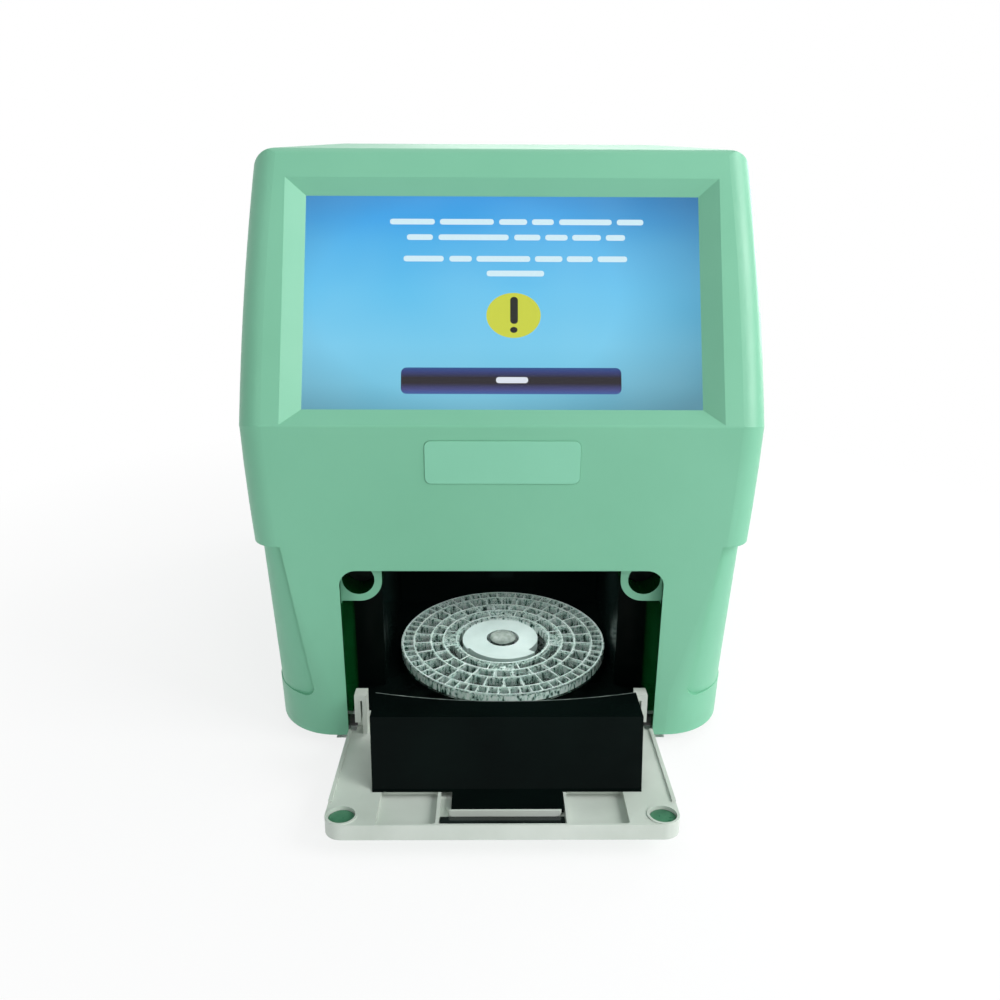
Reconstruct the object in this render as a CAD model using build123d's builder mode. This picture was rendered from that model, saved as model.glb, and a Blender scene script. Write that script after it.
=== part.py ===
from build123d import *
from math import cos, pi, radians, sin, tan
import os

# Benchtop chemistry analyzer, in millimetres.
# X = 0 is the mid-plane, Y = 0 the front face with +Y rearwards, Z = 0 the table top;
# when the pieces are written, Y = 0 is moved to the middle of the analyzer.
# The door is drawn open, as it stands when a reagent disc is put in.

os.makedirs("parts", exist_ok=True)

# ---------------------------------------------------------------- driving dimensions

# Gaps
slip_gap = 0.3  # between separate pieces that are put together
running_gap = 0.05  # radial, between a pin and its bore

# Casing
height = 241.3
depth = 264.0
lip_height = 93.5  # underside of the wide head
lip_half = 100.3  # half the head's width at its underside
top_half = 98.6  # half the head's width at its top
head_bulge = 2.65  # how far its sides swell out between the two
crease_height = 143.6  # where the upright front turns into the screen slope
crease_radius = 2.0
brow_radius = 3.5  # where the slope turns into the top
screen_slope = 27.57  # degrees from upright
edge_radius = 10.5  # of the head's long side edges
rear_top_radius = 30.0
waist_height = 24.0
waist_half = 98.6
skirt_height = 4.3  # lower edge of the casing
skirt_half = 98.2
skirt_radius = 27.0  # front corners seen from above, at the waist and below
rear_radius = 11.0
wall = 2.5
lip_step = 0.3  # the head stands out this much from the body under it

# Side recesses
recess_depth = 3.2  # at the front corner
recess_face_half = 97.4  # its floor is upright
recess_front_top = 88.3
recess_front_low = 78.7
recess_low = 22.5
recess_rear_margin = 28.0

# Front opening and the tunnel behind it
opening_half = 65.8
opening_top = 83.0
opening_radius = 7.0
tunnel_length = 34.0

# Catch tubes in the top corners of the opening
tube_x = 59.2
tube_height = 75.2
tube_radius = 9.8
tube_bore_radius = 6.7
tube_front = 8.0
tube_length = 22.0
magnet_length = 8.0

# Screen
rim_half = 84.7  # outer edge of the bevel round the glass
rim_low = 0.6
rim_top_margin = 11.8  # from the bevel to the top edge of the slope
glass_half = 77.1  # visible glass
glass_low = 7.3
glass_top_margin = 17.7
glass_depth = 4.0  # glass behind the rim
glass_thickness = 1.8
display_thickness = 6.0
display_half = 82.4
display_top_margin = 10.2

# Bare name plate
plate_width = 60.0
plate_height = 17.4
plate_radius = 2.5
plate_centre = 129.2
plate_thickness = 0.8

# Door
hinge_y = 6.9
hinge_height = 7.2
open_angle = 5.7  # free end of the open door, degrees above level
door_half = 65.4
door_length = 75.3
skin_low = -6.6  # outer face of the mint skin, measured from the hinge axis
skin_thickness = 1.6
liner_top = -0.4
pin_radius = 1.5
collar_radius = 2.5
knuckle_radius = 4.0
knuckle_inner = 57.0
knuckle_outer = 62.1

# Light shield on the door
shield_shift = -1.9  # its middle stands a little to the right of the door's
shield_half = 53.5
shield_foot_half = 51.6
shield_rise = 24.0
shield_thickness = 1.6
shield_rear = 20.5
shield_rear_middle = 27.9
shield_crease = 40.8
shield_foot = 52.9
shield_tab_half = 20.95
shield_tab_end = 65.9

# Reagent disc and its drive
disc_x = 1.5
disc_y = 60.4
disc_radius = 49.5
disc_low = 12.0
disc_thickness = 5.0
lid_thickness = 0.6
core_radius = 21.0
hub_radius = 7.5
hub_rise = 5.4
hub_gap = 0.4
rim_wells = 60
outer_wells = 30
inner_wells = 24
turntable_radius = 30.0
turntable_thickness = 1.2
stator_radius = 23.0
shaft_radius = 2.0

# Chamber
chamber_half = 53.0
chamber_rear = 116.0
chamber_roof = 70.0
chamber_wall = 2.0
chamber_floor = 1.5

# Base
plate_low = 5.0
base_thickness = 1.5
base_front = 14.5
foot_radius = 7.5

# Rear
panel_half = 81.7
panel_low = 20.3
panel_high = 183.7
panel_thickness = 2.5
panel_ledge = 5.0
fan_size = 60.0
fan_depth = 20.0
fan_x = 30.0
fan_height = 125.0
blade_count = 7
inlet_x = -50.0
socket_height = 48.0
switch_x = -16.0
ports_x = 40.0

# Electronics
board_height = 98.0
supply_size = (110.0, 75.0, 40.0)
supply_rear_gap = 20.5  # from the cage to the rear panel's outer face
supply_y = depth - supply_rear_gap - supply_size[1] / 2

# ---------------------------------------------------------------- frames and helpers

slope = radians(screen_slope)
tilt = radians(open_angle)
slope_length = (height - crease_height) / cos(slope)
rim_high = slope_length - rim_top_margin
glass_high = slope_length - glass_top_margin
display_high = slope_length - display_top_margin
door_radius = opening_radius - (opening_half - door_half)
base_top = plate_low + base_thickness
disc_top = disc_low + disc_thickness

# On the rim plane, x is X and y runs up the slope from the crease.
rim_plane = Plane((0, 0, crease_height), x_dir=(1, 0, 0), z_dir=(0, -cos(slope), sin(slope)))

# On the door plane, x is -X, y runs from the hinge axis to the free end and z away from the table.
door_plane = Plane((0, hinge_y, hinge_height), x_dir=(-1, 0, 0), z_dir=(0, sin(tilt), cos(tilt)))

# The door's side view: x along the door, y away from the table, drawn on the mid-plane.
door_side = Plane((0, hinge_y, hinge_height), x_dir=(0, -cos(tilt), sin(tilt)), z_dir=(-1, 0, 0))


def facing_front(y):
    """A plane at depth y where x is X, y is Z, and a negative extrusion runs rearwards."""
    return Plane.XZ.offset(-y)


pieces = {}


def save(piece, name):
    """Keep a finished piece under its name until all can be centred and written."""
    pieces[name] = piece.part


def side_half(level, inset):
    """Half the head's width at a level, drawn in by inset."""
    share = (level - lip_height) / (height - lip_height)
    swell = 4 * head_bulge * share * (1 - share)
    return lip_half + (top_half - lip_half) * share + swell - inset


def head_form(inset, rear_inset, floor):
    """The wide head as a solid, drawn in from its outer faces, down to a level floor."""
    top = height - inset
    crease = crease_height - inset * tan(slope / 2)
    front_top = inset + (top - crease) * tan(slope)
    rear = depth - rear_inset
    with BuildPart() as form:
        with BuildSketch(Plane.YZ) as profile:
            with BuildLine():
                Polyline(
                    (inset, floor), (inset, crease), (front_top, top), (rear, top), (rear, floor), close=True
                )
            make_face()
            fillet(profile.vertices().sort_by(Axis((0, 0, 0), (1, 1, 0)))[-1], rear_top_radius - inset)
        extrude(amount=lip_half + head_bulge, both=True)
        with BuildSketch(Plane.XZ):
            with BuildLine():
                middle = (floor + top) / 2
                right = [(side_half(level, inset), level) for level in (floor, middle, top)]
                left = [(-x, level) for x, level in right]
                ThreePointArc(*right)
                Line(right[-1], left[-1])
                ThreePointArc(*left)
                Line(left[0], right[0])
            make_face()
        extrude(amount=-depth, mode=Mode.INTERSECT)
        sides = form.faces().sort_by(Axis.X)
        long_edges = [
            edge for side in (sides[0], sides[-1]) for edge in side.edges() if edge.center().Z > floor + wall
        ]
        fillet(long_edges, edge_radius - inset)
    return form.part


def rounding_waste(corner, before, after, turn, radius):
    """What a rounded corner of the side view leaves outside its arc, right across the head."""
    reach = radius * tan(turn / 2)
    first = corner + before * reach
    second = corner + after * reach
    with BuildPart() as waste:
        with BuildSketch(Plane.YZ):
            with BuildLine():
                Polyline(first, corner, second)
                TangentArc(first, second, tangent=corner - first)
            make_face()
        extrude(amount=lip_half + head_bulge, both=True)
    return waste.part


def plan_outline(level, half, front, rear, front_corner, rear_corner):
    """A rectangle seen from above with its own front and rear corner radii."""
    with BuildSketch(Plane.XY.offset(level)) as outline:
        with Locations((0, (front + rear) / 2)):
            Rectangle(2 * half, rear - front)
        fillet(outline.vertices().group_by(Axis.Y)[0], front_corner)
        fillet(outline.vertices().group_by(Axis.Y)[-1], rear_corner)
    return outline.sketch


def body_form(inset, front, rear, low, high, corner_low, corner_high):
    """The body under the head: its sides lean in to a waist, then drop to the skirt."""
    lean_in = (lip_half - waist_half) / (lip_height - waist_height)
    top_half_width = lip_half - lip_step + lean_in * (high - lip_height) - inset
    with BuildPart() as form:
        loft(
            [
                plan_outline(low, skirt_half - inset, front, rear, corner_low, rear_radius),
                plan_outline(waist_height, waist_half - inset, front, rear, corner_low, rear_radius),
                plan_outline(high, top_half_width, front, rear, corner_high, rear_radius),
            ],
            ruled=True,
        )
    return form.part


def recess_core():
    """The body inside the recesses, whose upright sides are their floors."""
    low_corner = skirt_radius - recess_depth
    rear_corner = rear_radius - recess_depth
    sides = (recess_face_half, recess_depth, depth - recess_depth)
    with BuildPart() as core:
        loft(
            [
                plan_outline(skirt_height, *sides, low_corner, rear_corner),
                plan_outline(lip_height + wall, *sides, rear_corner, rear_corner),
            ],
            ruled=True,
        )
    return core.part


def recess_tool():
    """The shallow recess in the right side, as the solid that is cut away."""
    with BuildPart() as tool:
        with BuildSketch(facing_front(-wall)) as region:
            with BuildLine():
                Polyline(
                    (recess_front_top, lip_height),
                    (recess_front_low, recess_low),
                    (lip_half + wall, recess_low),
                    (lip_half + wall, lip_height),
                    close=True,
                )
            make_face()
            fillet(region.vertices().sort_by(Axis((0, 0, 0), (1, 1, 0)))[0], 5)
        extrude(amount=-(depth - recess_rear_margin))
        add(recess_core(), mode=Mode.SUBTRACT)
    return tool.part


# ---------------------------------------------------------------- housing

side_wall = recess_depth + wall - slip_gap
front_wall = 3.0
rear_wall = 5.0
cavity_front_radius = 30.0
base_boss_radius = 4.5
base_boss_x = skirt_half - side_wall - base_boss_radius + 1.0  # its side stands in the wall
base_boss_ys = (52.0, 140.0, 228.0)
base_boss_top = 20.0
screw_radius = 1.5
seat_depth = 6.5  # back of the frame that holds the screen
clamp_x = 68.0
clamp_us = (-5.5, slope_length - 5.7)
clamp_boss_radius = 3.5
display_back = glass_depth + glass_thickness + display_thickness
panel_screw_inset = 4.2


frame_half = 88.0
frame_low = -2.5
frame_high = slope_length - 2.7
clamp_screw_length = 4.5


def base_boss_places():
    """Where the base plate is screwed to the housing, seen from above."""
    return [(side * base_boss_x, y) for side in (-1, 1) for y in base_boss_ys]


def clamp_places():
    """Where the screen clamps are screwed down, on the rim plane."""
    return [(side * clamp_x, u) for side in (-1, 1) for u in clamp_us]


def panel_screw_places():
    """Where the rear panel is screwed on, as X and Z."""
    xs = (-panel_half + panel_screw_inset, panel_half - panel_screw_inset)
    return [(x, z) for x in xs for z in (panel_low + panel_screw_inset, panel_high - panel_screw_inset)]


def rim_rectangle(sunk, half, low, high):
    """A rectangle on the rim plane, sunk behind it."""
    with BuildSketch(rim_plane.offset(-sunk)) as outline:
        with Locations((0, (low + high) / 2)):
            Rectangle(2 * half, high - low)
    return outline.sketch


def opening_outline(grow, y, low):
    """The front opening seen from the front, drawn at depth y from a level low up."""
    half = opening_half + grow
    top = opening_top + grow
    with BuildSketch(facing_front(y)) as outline:
        with Locations((0, (top + low) / 2)):
            Rectangle(2 * half, top - low)
        fillet(outline.vertices().group_by(Axis.Y)[-1], opening_radius + grow)
    return outline.sketch


with BuildPart() as housing:
    # Outer form: the head stands over the body, whose sides are recessed.
    add(head_form(0, 0, lip_height))
    add(body_form(0, 0, depth, skirt_height, lip_height, skirt_radius, rear_radius))
    right_recess = recess_tool()
    add(right_recess, mode=Mode.SUBTRACT)
    add(right_recess.mirror(Plane.YZ), mode=Mode.SUBTRACT)
    # Soften the crease and the top front edge.
    up_slope = Vector(sin(slope), cos(slope))
    crease_point = Vector(0, crease_height)
    brow_point = crease_point + up_slope * slope_length
    add(rounding_waste(crease_point, Vector(0, -1), up_slope, slope, crease_radius), mode=Mode.SUBTRACT)
    add(rounding_waste(brow_point, -up_slope, Vector(1, 0), pi / 2 - slope, brow_radius), mode=Mode.SUBTRACT)
    # Cavity.
    add(head_form(wall, rear_wall, lip_height + wall), mode=Mode.SUBTRACT)
    add(
        body_form(
            side_wall,
            front_wall,
            depth - rear_wall,
            skirt_height - wall,
            lip_height + wall,
            cavity_front_radius,
            cavity_front_radius,
        ),
        mode=Mode.SUBTRACT,
    )
    # Tunnel behind the front opening, with the catch tubes in its top corners.
    extrude(opening_outline(wall, 0, skirt_height), amount=-tunnel_length)
    with BuildSketch(facing_front(tube_front)) as tube_outline:
        with Locations((tube_x, tube_height)):
            Rectangle(2 * tube_radius, 2 * tube_radius)
        inner_corner = tube_outline.vertices().sort_by(Axis((0, 0, 0), (1, 1, 0)))[0]
        fillet(inner_corner, tube_radius - slip_gap)
        mirror(about=Plane.YZ)
    extrude(opening_outline(0, -wall, 0), amount=-(tunnel_length + 2 * wall), mode=Mode.SUBTRACT)
    extrude(tube_outline.sketch, amount=-tube_length)
    with Locations(*[(side * tube_x, tube_front, tube_height) for side in (-1, 1)]):
        Cylinder(
            tube_bore_radius,
            tube_length - wall,
            rotation=(-90, 0, 0),
            align=(Align.CENTER, Align.CENTER, Align.MIN),
            mode=Mode.SUBTRACT,
        )
    # The jambs stand clear of the base plate behind the front wall.
    with BuildSketch(Plane.XY.offset(skirt_height - wall)):
        with Locations((0, base_front - slip_gap)):
            Rectangle(2 * (opening_half + 2 * wall), tunnel_length, align=(Align.CENTER, Align.MIN))
    extrude(amount=base_top + slip_gap - skirt_height + wall, mode=Mode.SUBTRACT)
    # Holes for the hinge pins through both jambs.
    with BuildSketch(Plane.YZ):
        with Locations((hinge_y, hinge_height)):
            Circle(pin_radius + running_gap)
    extrude(amount=opening_half + 2 * wall, both=True, mode=Mode.SUBTRACT)
    # Bosses over the base plate, each with a screw hole.
    with BuildSketch(Plane.XY.offset(base_top)):
        with Locations(*base_boss_places()):
            Circle(base_boss_radius)
    extrude(amount=base_boss_top - base_top)
    with BuildSketch(Plane.XY.offset(base_top)):
        with Locations(*base_boss_places()):
            Circle(screw_radius + running_gap)
    extrude(amount=base_boss_top - base_top - wall, mode=Mode.SUBTRACT)
    # Frame that carries the glass, bosses for the clamps, and the bevel down to the glass.
    with BuildSketch(rim_plane.offset(-wall + slip_gap)):
        with Locations((0, frame_low)):
            Rectangle(2 * frame_half, frame_high - frame_low, align=(Align.CENTER, Align.MIN))
    extrude(amount=-(seat_depth - wall + slip_gap))
    with BuildSketch(rim_plane.offset(-(seat_depth - 1))):
        with Locations(*clamp_places()):
            Circle(clamp_boss_radius)
    extrude(amount=-(display_back - seat_depth + 1))
    loft(
        [
            rim_rectangle(0, rim_half, rim_low, rim_high),
            rim_rectangle(glass_depth, glass_half, glass_low, glass_high),
        ],
        mode=Mode.SUBTRACT,
    )
    with BuildSketch(rim_plane.offset(-glass_depth)):
        with Locations((0, display_high / 2)):
            Rectangle(2 * (display_half + slip_gap), display_high + 2 * slip_gap)
    extrude(amount=-(seat_depth - glass_depth), mode=Mode.SUBTRACT)
    with BuildSketch(rim_plane.offset(-display_back)):
        with Locations(*clamp_places()):
            Circle(screw_radius + running_gap)
    extrude(amount=clamp_screw_length, mode=Mode.SUBTRACT)
    # Shallow pocket for the name plate.
    with BuildSketch(facing_front(-wall)):
        with Locations((0, plate_centre)):
            RectangleRounded(plate_width + slip_gap, plate_height + slip_gap, plate_radius)
    extrude(amount=-(wall + plate_thickness / 2), mode=Mode.SUBTRACT)
    # Rear opening, and the pocket that the rear panel lies in.
    with BuildSketch(facing_front(depth - rear_wall - wall)):
        with Locations((0, (panel_low + panel_high) / 2)):
            rear_half = panel_half + slip_gap - panel_ledge
            rear_height = panel_high - panel_low + 2 * slip_gap - 2 * panel_ledge
            RectangleRounded(2 * rear_half, rear_height, 2 * panel_ledge)
    extrude(amount=-(rear_wall + 2 * wall), mode=Mode.SUBTRACT)
    with BuildSketch(facing_front(depth - panel_thickness)):
        with Locations((0, (panel_low + panel_high) / 2)):
            Rectangle(2 * (panel_half + slip_gap), panel_high - panel_low + 2 * slip_gap)
    extrude(amount=-2 * panel_thickness, mode=Mode.SUBTRACT)
    with BuildSketch(facing_front(depth - rear_wall - wall)):
        with Locations(*panel_screw_places()):
            Circle(screw_radius + running_gap)
    extrude(amount=-2 * rear_wall, mode=Mode.SUBTRACT)
save(housing, "housing")


# ---------------------------------------------------------------- base

foot_inset = 24.2  # from the skirt's sides
foot_end_insets = (30.0, 28.0)  # from the front and from the rear
foot_x = skirt_half - foot_inset
foot_ys = (foot_end_insets[0], depth - foot_end_insets[1])
feet_places = [(side * foot_x, y) for side in (-1, 1) for y in foot_ys]
foot_stem_radius = 2.0
foot_stem_length = base_thickness + 1.0
plate_corner = 30.0
vent_y = supply_y - 1.0
vent_length = 40.0
vent_width = 4.0
vent_count = 7
vent_pitch = 12.0
screw_head_radius = 3.0
screw_head = 1.6


def screws(plane, places, shank, head_radius=screw_head_radius):
    """Round-headed screws whose heads stand on a plane and whose shanks go in behind it."""
    with BuildPart() as group:
        with BuildSketch(plane):
            with Locations(*places):
                Circle(head_radius)
        extrude(amount=screw_head)
        head_edges = group.faces().sort_by(Axis(plane.origin, plane.z_dir))[-len(places) :].edges()
        fillet(head_edges, 0.6)
        with BuildSketch(plane):
            with Locations(*places):
                Circle(screw_radius)
        extrude(amount=-shank)
    return group


underside = Plane((0, 0, plate_low), x_dir=(1, 0, 0), z_dir=(0, 0, -1))

with BuildPart() as base_plate:
    base_half = skirt_half - side_wall - slip_gap
    with BuildSketch(Plane.XY.offset(plate_low)):
        sides = (base_half, front_wall + slip_gap, depth - rear_wall - slip_gap)
        add(plan_outline(0, *sides, plate_corner, plate_corner))
        Rectangle(2 * depth, 2 * base_front, mode=Mode.SUBTRACT)
        with Locations(*base_boss_places()):
            Circle(screw_radius + running_gap, mode=Mode.SUBTRACT)
        with Locations(*feet_places):
            Circle(foot_stem_radius + running_gap, mode=Mode.SUBTRACT)
        # Air slots under the power supply.
        with Locations((0, vent_y)):
            with GridLocations(vent_pitch, 1, vent_count, 1):
                SlotOverall(vent_length, vent_width, rotation=90, mode=Mode.SUBTRACT)
    extrude(amount=base_thickness)
save(base_plate, "base_plate")

with BuildPart() as rubber_feet:
    with BuildSketch():
        with Locations(*feet_places):
            Circle(foot_radius)
    extrude(amount=plate_low, taper=4)
    with BuildSketch(Plane.XY.offset(plate_low)):
        with Locations(*feet_places):
            Circle(foot_stem_radius)
    extrude(amount=foot_stem_length)
save(rubber_feet, "rubber_feet")

base_screws = screws(underside, [(x, -y) for x, y in base_boss_places()], base_boss_top - base_top - wall)
save(base_screws, "base_screws")

# ---------------------------------------------------------------- screen and name plate

with BuildPart() as touch_glass:
    with BuildSketch(rim_plane.offset(-glass_depth)):
        with Locations((0, display_high / 2)):
            RectangleRounded(2 * display_half, display_high, 2)
    extrude(amount=-glass_thickness)
save(touch_glass, "touch_glass")

display_board = (100.0, 60.0)
display_board_thickness = 1.6
display_middle = display_high / 2
connector_y = display_middle - 20.0
chip_places = ((-20.0, display_middle + 5.0), (15.0, display_middle + 10.0))

with BuildPart() as lcd_module:
    # A metal tray behind the glass, with a board and its connector on the back.
    with BuildSketch(rim_plane.offset(-glass_depth - glass_thickness)):
        with Locations((0, display_middle)):
            Rectangle(2 * display_half, display_high)
    extrude(amount=-display_thickness)
    with BuildSketch(rim_plane.offset(-display_back)):
        with Locations((0, display_middle)):
            Rectangle(*display_board)
    extrude(amount=-display_board_thickness)
    with BuildSketch(rim_plane.offset(-display_back - display_board_thickness)):
        with Locations((0, connector_y)):
            Rectangle(30, 5)
        with Locations(*chip_places):
            Rectangle(12, 12)
    extrude(amount=-2)
save(lcd_module, "lcd_module")

clamp_width = 10.0
clamp_thickness = 2.0
with BuildPart() as screen_clamps:
    with BuildSketch(rim_plane.offset(-display_back)):
        clamp_length = clamp_us[1] - clamp_us[0]
        with Locations(*[(side * clamp_x, sum(clamp_us) / 2) for side in (-1, 1)]):
            SlotCenterToCenter(clamp_length, clamp_width, rotation=90)
        with Locations(*clamp_places()):
            Circle(screw_radius + running_gap, mode=Mode.SUBTRACT)
    extrude(amount=-clamp_thickness)
save(screen_clamps, "screen_clamps")

clamp_back = Plane(
    rim_plane.offset(-display_back - clamp_thickness).origin, x_dir=(1, 0, 0), z_dir=-rim_plane.z_dir
)
clamp_shank = clamp_thickness + clamp_screw_length - 0.5
clamp_screws = screws(clamp_back, [(x, -u) for x, u in clamp_places()], clamp_shank)
save(clamp_screws, "clamp_screws")

with BuildPart() as name_plate:
    with BuildSketch(facing_front(plate_thickness / 2)):
        with Locations((0, plate_centre)):
            RectangleRounded(plate_width, plate_height, plate_radius)
    extrude(amount=plate_thickness)
    fillet(name_plate.faces().sort_by(Axis.Y)[0].edges(), 0.25)
save(name_plate, "name_plate")

# ---------------------------------------------------------------- catch magnets and hinge pins

with BuildPart() as catch_magnets:
    with BuildSketch(facing_front(tube_front + tube_length - wall)):
        with Locations((-tube_x, tube_height), (tube_x, tube_height)):
            Circle(tube_bore_radius - slip_gap)
    extrude(amount=magnet_length)
save(catch_magnets, "catch_magnets")

with BuildPart() as hinge_pins:
    # Each pin is turned in one piece with a collar that lies against the jamb.
    with BuildSketch(Plane.YZ.offset(knuckle_inner)):
        with Locations((hinge_y, hinge_height)):
            Circle(pin_radius)
    extrude(amount=opening_half + 2 * wall - knuckle_inner - slip_gap)
    with BuildSketch(Plane.YZ.offset(knuckle_outer + slip_gap)):
        with Locations((hinge_y, hinge_height)):
            Circle(collar_radius)
    extrude(amount=opening_half - knuckle_outer - slip_gap)
    mirror(about=Plane.YZ)
save(hinge_pins, "hinge_pins")

# ---------------------------------------------------------------- disc chamber

stator_top = base_top + 3.5
nose_half = 6.0
light_radius = disc_radius - 3.5  # where the light crosses the disc's wells
light_y = disc_y + light_radius
lamp_nose_top = 11.4
photometer_low = 30.0
photometer_nose = 12.0

with BuildPart() as disc_chamber:
    # A black box, open to the front, with a flange that closes the tunnel's end round it.
    with BuildSketch(facing_front(tunnel_length)):
        with Locations((0, base_top)):
            Rectangle(
                2 * (chamber_half + chamber_wall),
                chamber_roof + chamber_wall - base_top,
                align=(Align.CENTER, Align.MIN),
            )
    extrude(amount=-(chamber_rear + chamber_wall - tunnel_length))
    extrude(opening_outline(wall, tunnel_length, base_top), amount=-chamber_wall)
    with BuildSketch(facing_front(tunnel_length)):
        with Locations((0, base_top + chamber_floor)):
            space_height = chamber_roof - base_top - chamber_floor
            Rectangle(2 * chamber_half, space_height, align=(Align.CENTER, Align.MIN))
    extrude(amount=-(chamber_rear - tunnel_length), mode=Mode.SUBTRACT)
    # The floor runs forward under the disc's front edge.
    with BuildSketch(Plane.XY.offset(base_top)):
        with Locations((0, base_front + slip_gap)):
            Rectangle(
                2 * (opening_half - slip_gap), tunnel_length - base_front, align=(Align.CENTER, Align.MIN)
            )
    extrude(amount=chamber_floor)
    # Round hole for the motor, and a slot at the back for each light nose.
    with BuildSketch(Plane.XY.offset(base_top)):
        with Locations((disc_x, disc_y)):
            Circle(stator_radius + slip_gap)
    extrude(amount=chamber_floor, mode=Mode.SUBTRACT)
    with BuildSketch(facing_front(chamber_rear - wall)):
        for low, high in (
            (base_top + chamber_floor, lamp_nose_top),
            (photometer_low, photometer_low + photometer_nose),
        ):
            with Locations((disc_x, (low + high) / 2)):
                Rectangle(2 * (nose_half + slip_gap), high - low + 2 * slip_gap)
    extrude(amount=-2 * wall - chamber_wall, mode=Mode.SUBTRACT)
save(disc_chamber, "disc_chamber")

heater_margin = 13.0  # from the chamber's edges
heater_width = 2 * (chamber_half - heater_margin)
heater_length = chamber_rear - tunnel_length - 2 * heater_margin
heater_thickness = 3.0
heater_y = (tunnel_length + chamber_rear) / 2
tray_width = heater_width - 30.0
tray_length = 12.0
tray_wall = 2.0
tray_height = 4.0

with BuildPart() as heater_plate:
    with BuildSketch(Plane.XY.offset(chamber_roof + chamber_wall)):
        with Locations((0, heater_y)):
            RectangleRounded(heater_width, heater_length, 4)
    extrude(amount=heater_thickness)
    # Cable tray along its middle.
    with BuildSketch(Plane.XY.offset(chamber_roof + chamber_wall + heater_thickness)):
        with Locations((0, heater_y)):
            Rectangle(tray_width, tray_length)
            Rectangle(tray_width - 2 * tray_wall, tray_length - 2 * tray_wall, mode=Mode.SUBTRACT)
    extrude(amount=tray_height)
save(heater_plate, "heater_plate")

# ---------------------------------------------------------------- light path

module_front = chamber_rear + chamber_wall
lamp_half = 20.0
lamp_length = 34.0
fin_depth = 18.0
fin_height = 24.0
detector_length = 40.0
detector_height = 34.0
detector_half = 16.0

with BuildPart() as lamp_module:
    # A finned lamp house behind the chamber, with a flat light guide under the disc's rim.
    with BuildSketch(Plane.XY.offset(base_top)):
        with Locations((disc_x, module_front)):
            Rectangle(2 * lamp_half, lamp_length, align=(Align.CENTER, Align.MIN))
    extrude(amount=photometer_low - base_top)
    with BuildSketch(facing_front(module_front + lamp_length + 2)):
        with Locations((disc_x, base_top + fin_height / 2)):
            with GridLocations(5, 1, 7, 1):
                Rectangle(3, fin_height)
    extrude(amount=fin_depth + 2, mode=Mode.SUBTRACT)
    with BuildSketch(Plane.XY.offset(base_top + chamber_floor)):
        with Locations((disc_x, light_y - nose_half)):
            Rectangle(2 * nose_half, module_front - light_y + 2 * nose_half, align=(Align.CENTER, Align.MIN))
    extrude(amount=lamp_nose_top - base_top - chamber_floor)
save(lamp_module, "lamp_module")

with BuildPart() as photometer:
    # The detector block stands on the lamp house and looks down at the rim.
    with BuildSketch(Plane.YZ.offset(disc_x)):
        with BuildLine():
            Polyline(
                (module_front, photometer_low),
                (module_front + detector_length, photometer_low),
                (module_front + detector_length, photometer_low + detector_height - 12),
                (module_front + detector_length - 14, photometer_low + detector_height),
                (module_front, photometer_low + detector_height),
                close=True,
            )
        make_face()
    extrude(amount=detector_half, both=True)
    with BuildSketch(Plane.XY.offset(photometer_low)):
        with Locations((disc_x, light_y - nose_half)):
            Rectangle(2 * nose_half, module_front - light_y + 2 * nose_half, align=(Align.CENTER, Align.MIN))
    extrude(amount=photometer_nose)
    with BuildSketch(Plane.XY.offset(photometer_low)):
        with Locations((disc_x, light_y)):
            Circle(2)
    extrude(amount=photometer_nose / 2, mode=Mode.SUBTRACT)
save(photometer, "photometer")

# ---------------------------------------------------------------- spindle drive

turntable_low = disc_low - turntable_thickness
shaft_low = base_top + slip_gap

with BuildPart() as spindle_motor:
    with BuildSketch(Plane.XY.offset(base_top)):
        with Locations((disc_x, disc_y)):
            Circle(stator_radius)
            Circle(shaft_radius + running_gap, mode=Mode.SUBTRACT)
    extrude(amount=stator_top - base_top)
    # Winding slots round the stator.
    with BuildSketch(Plane.XY.offset(stator_top)):
        with Locations((disc_x, disc_y)):
            with PolarLocations(15, 9):
                Rectangle(9, 2)
    extrude(amount=-2, mode=Mode.SUBTRACT)
save(spindle_motor, "spindle_motor")

with BuildPart() as turntable:
    with BuildSketch(Plane.XY.offset(turntable_low)):
        with Locations((disc_x, disc_y)):
            Circle(turntable_radius)
    extrude(amount=turntable_thickness)
    # A row of timing slots near the edge.
    with BuildSketch(Plane.XY.offset(turntable_low)):
        with Locations((disc_x, disc_y)):
            with PolarLocations(turntable_radius - 3, 24):
                Rectangle(3, 1.6)
    extrude(amount=turntable_thickness, mode=Mode.SUBTRACT)
    with BuildSketch(Plane.XY.offset(shaft_low)):
        with Locations((disc_x, disc_y)):
            Circle(shaft_radius)
    extrude(amount=turntable_low - shaft_low)
save(turntable, "turntable")

with BuildPart() as spindle_hub:
    # A domed centre with three small catches that hold the disc's hub hole.
    with BuildSketch(Plane.XZ):
        with BuildLine():
            shoulder = disc_low + hub_rise - 2.5
            Line((0, disc_low), (hub_radius, disc_low))
            Line((hub_radius, disc_low), (hub_radius, shoulder))
            TangentArc((0, disc_low + hub_rise), (hub_radius, shoulder), tangent=(1, 0))
            Line((0, disc_low + hub_rise), (0, disc_low))
        make_face()
    revolve(axis=Axis.Z)
    with BuildSketch(Plane.XY.offset(disc_low + hub_rise - 3.5)):
        with PolarLocations(hub_radius - 0.8, 3, start_angle=90):
            Circle(0.9)
    extrude(amount=1.4, mode=Mode.ADD)
spindle_hub.part = spindle_hub.part.moved(Location((disc_x, disc_y, 0)))
save(spindle_hub, "spindle_hub")

# ---------------------------------------------------------------- reagent disc

base_disc_top = disc_top - lid_thickness
core_seat = disc_low + 1.0
core_top = disc_top + 0.4
well_pitch = 7.0  # from ring to ring
rim_well = (4.2, 3.4)  # radial and across
outer_well = (6.6, 6.6)
inner_well = (4.6, 6.0)
chamber_radius = core_radius + 5.0
chamber_width = 3.6
port_radius = 1.5
vent_radius = 0.8


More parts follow.
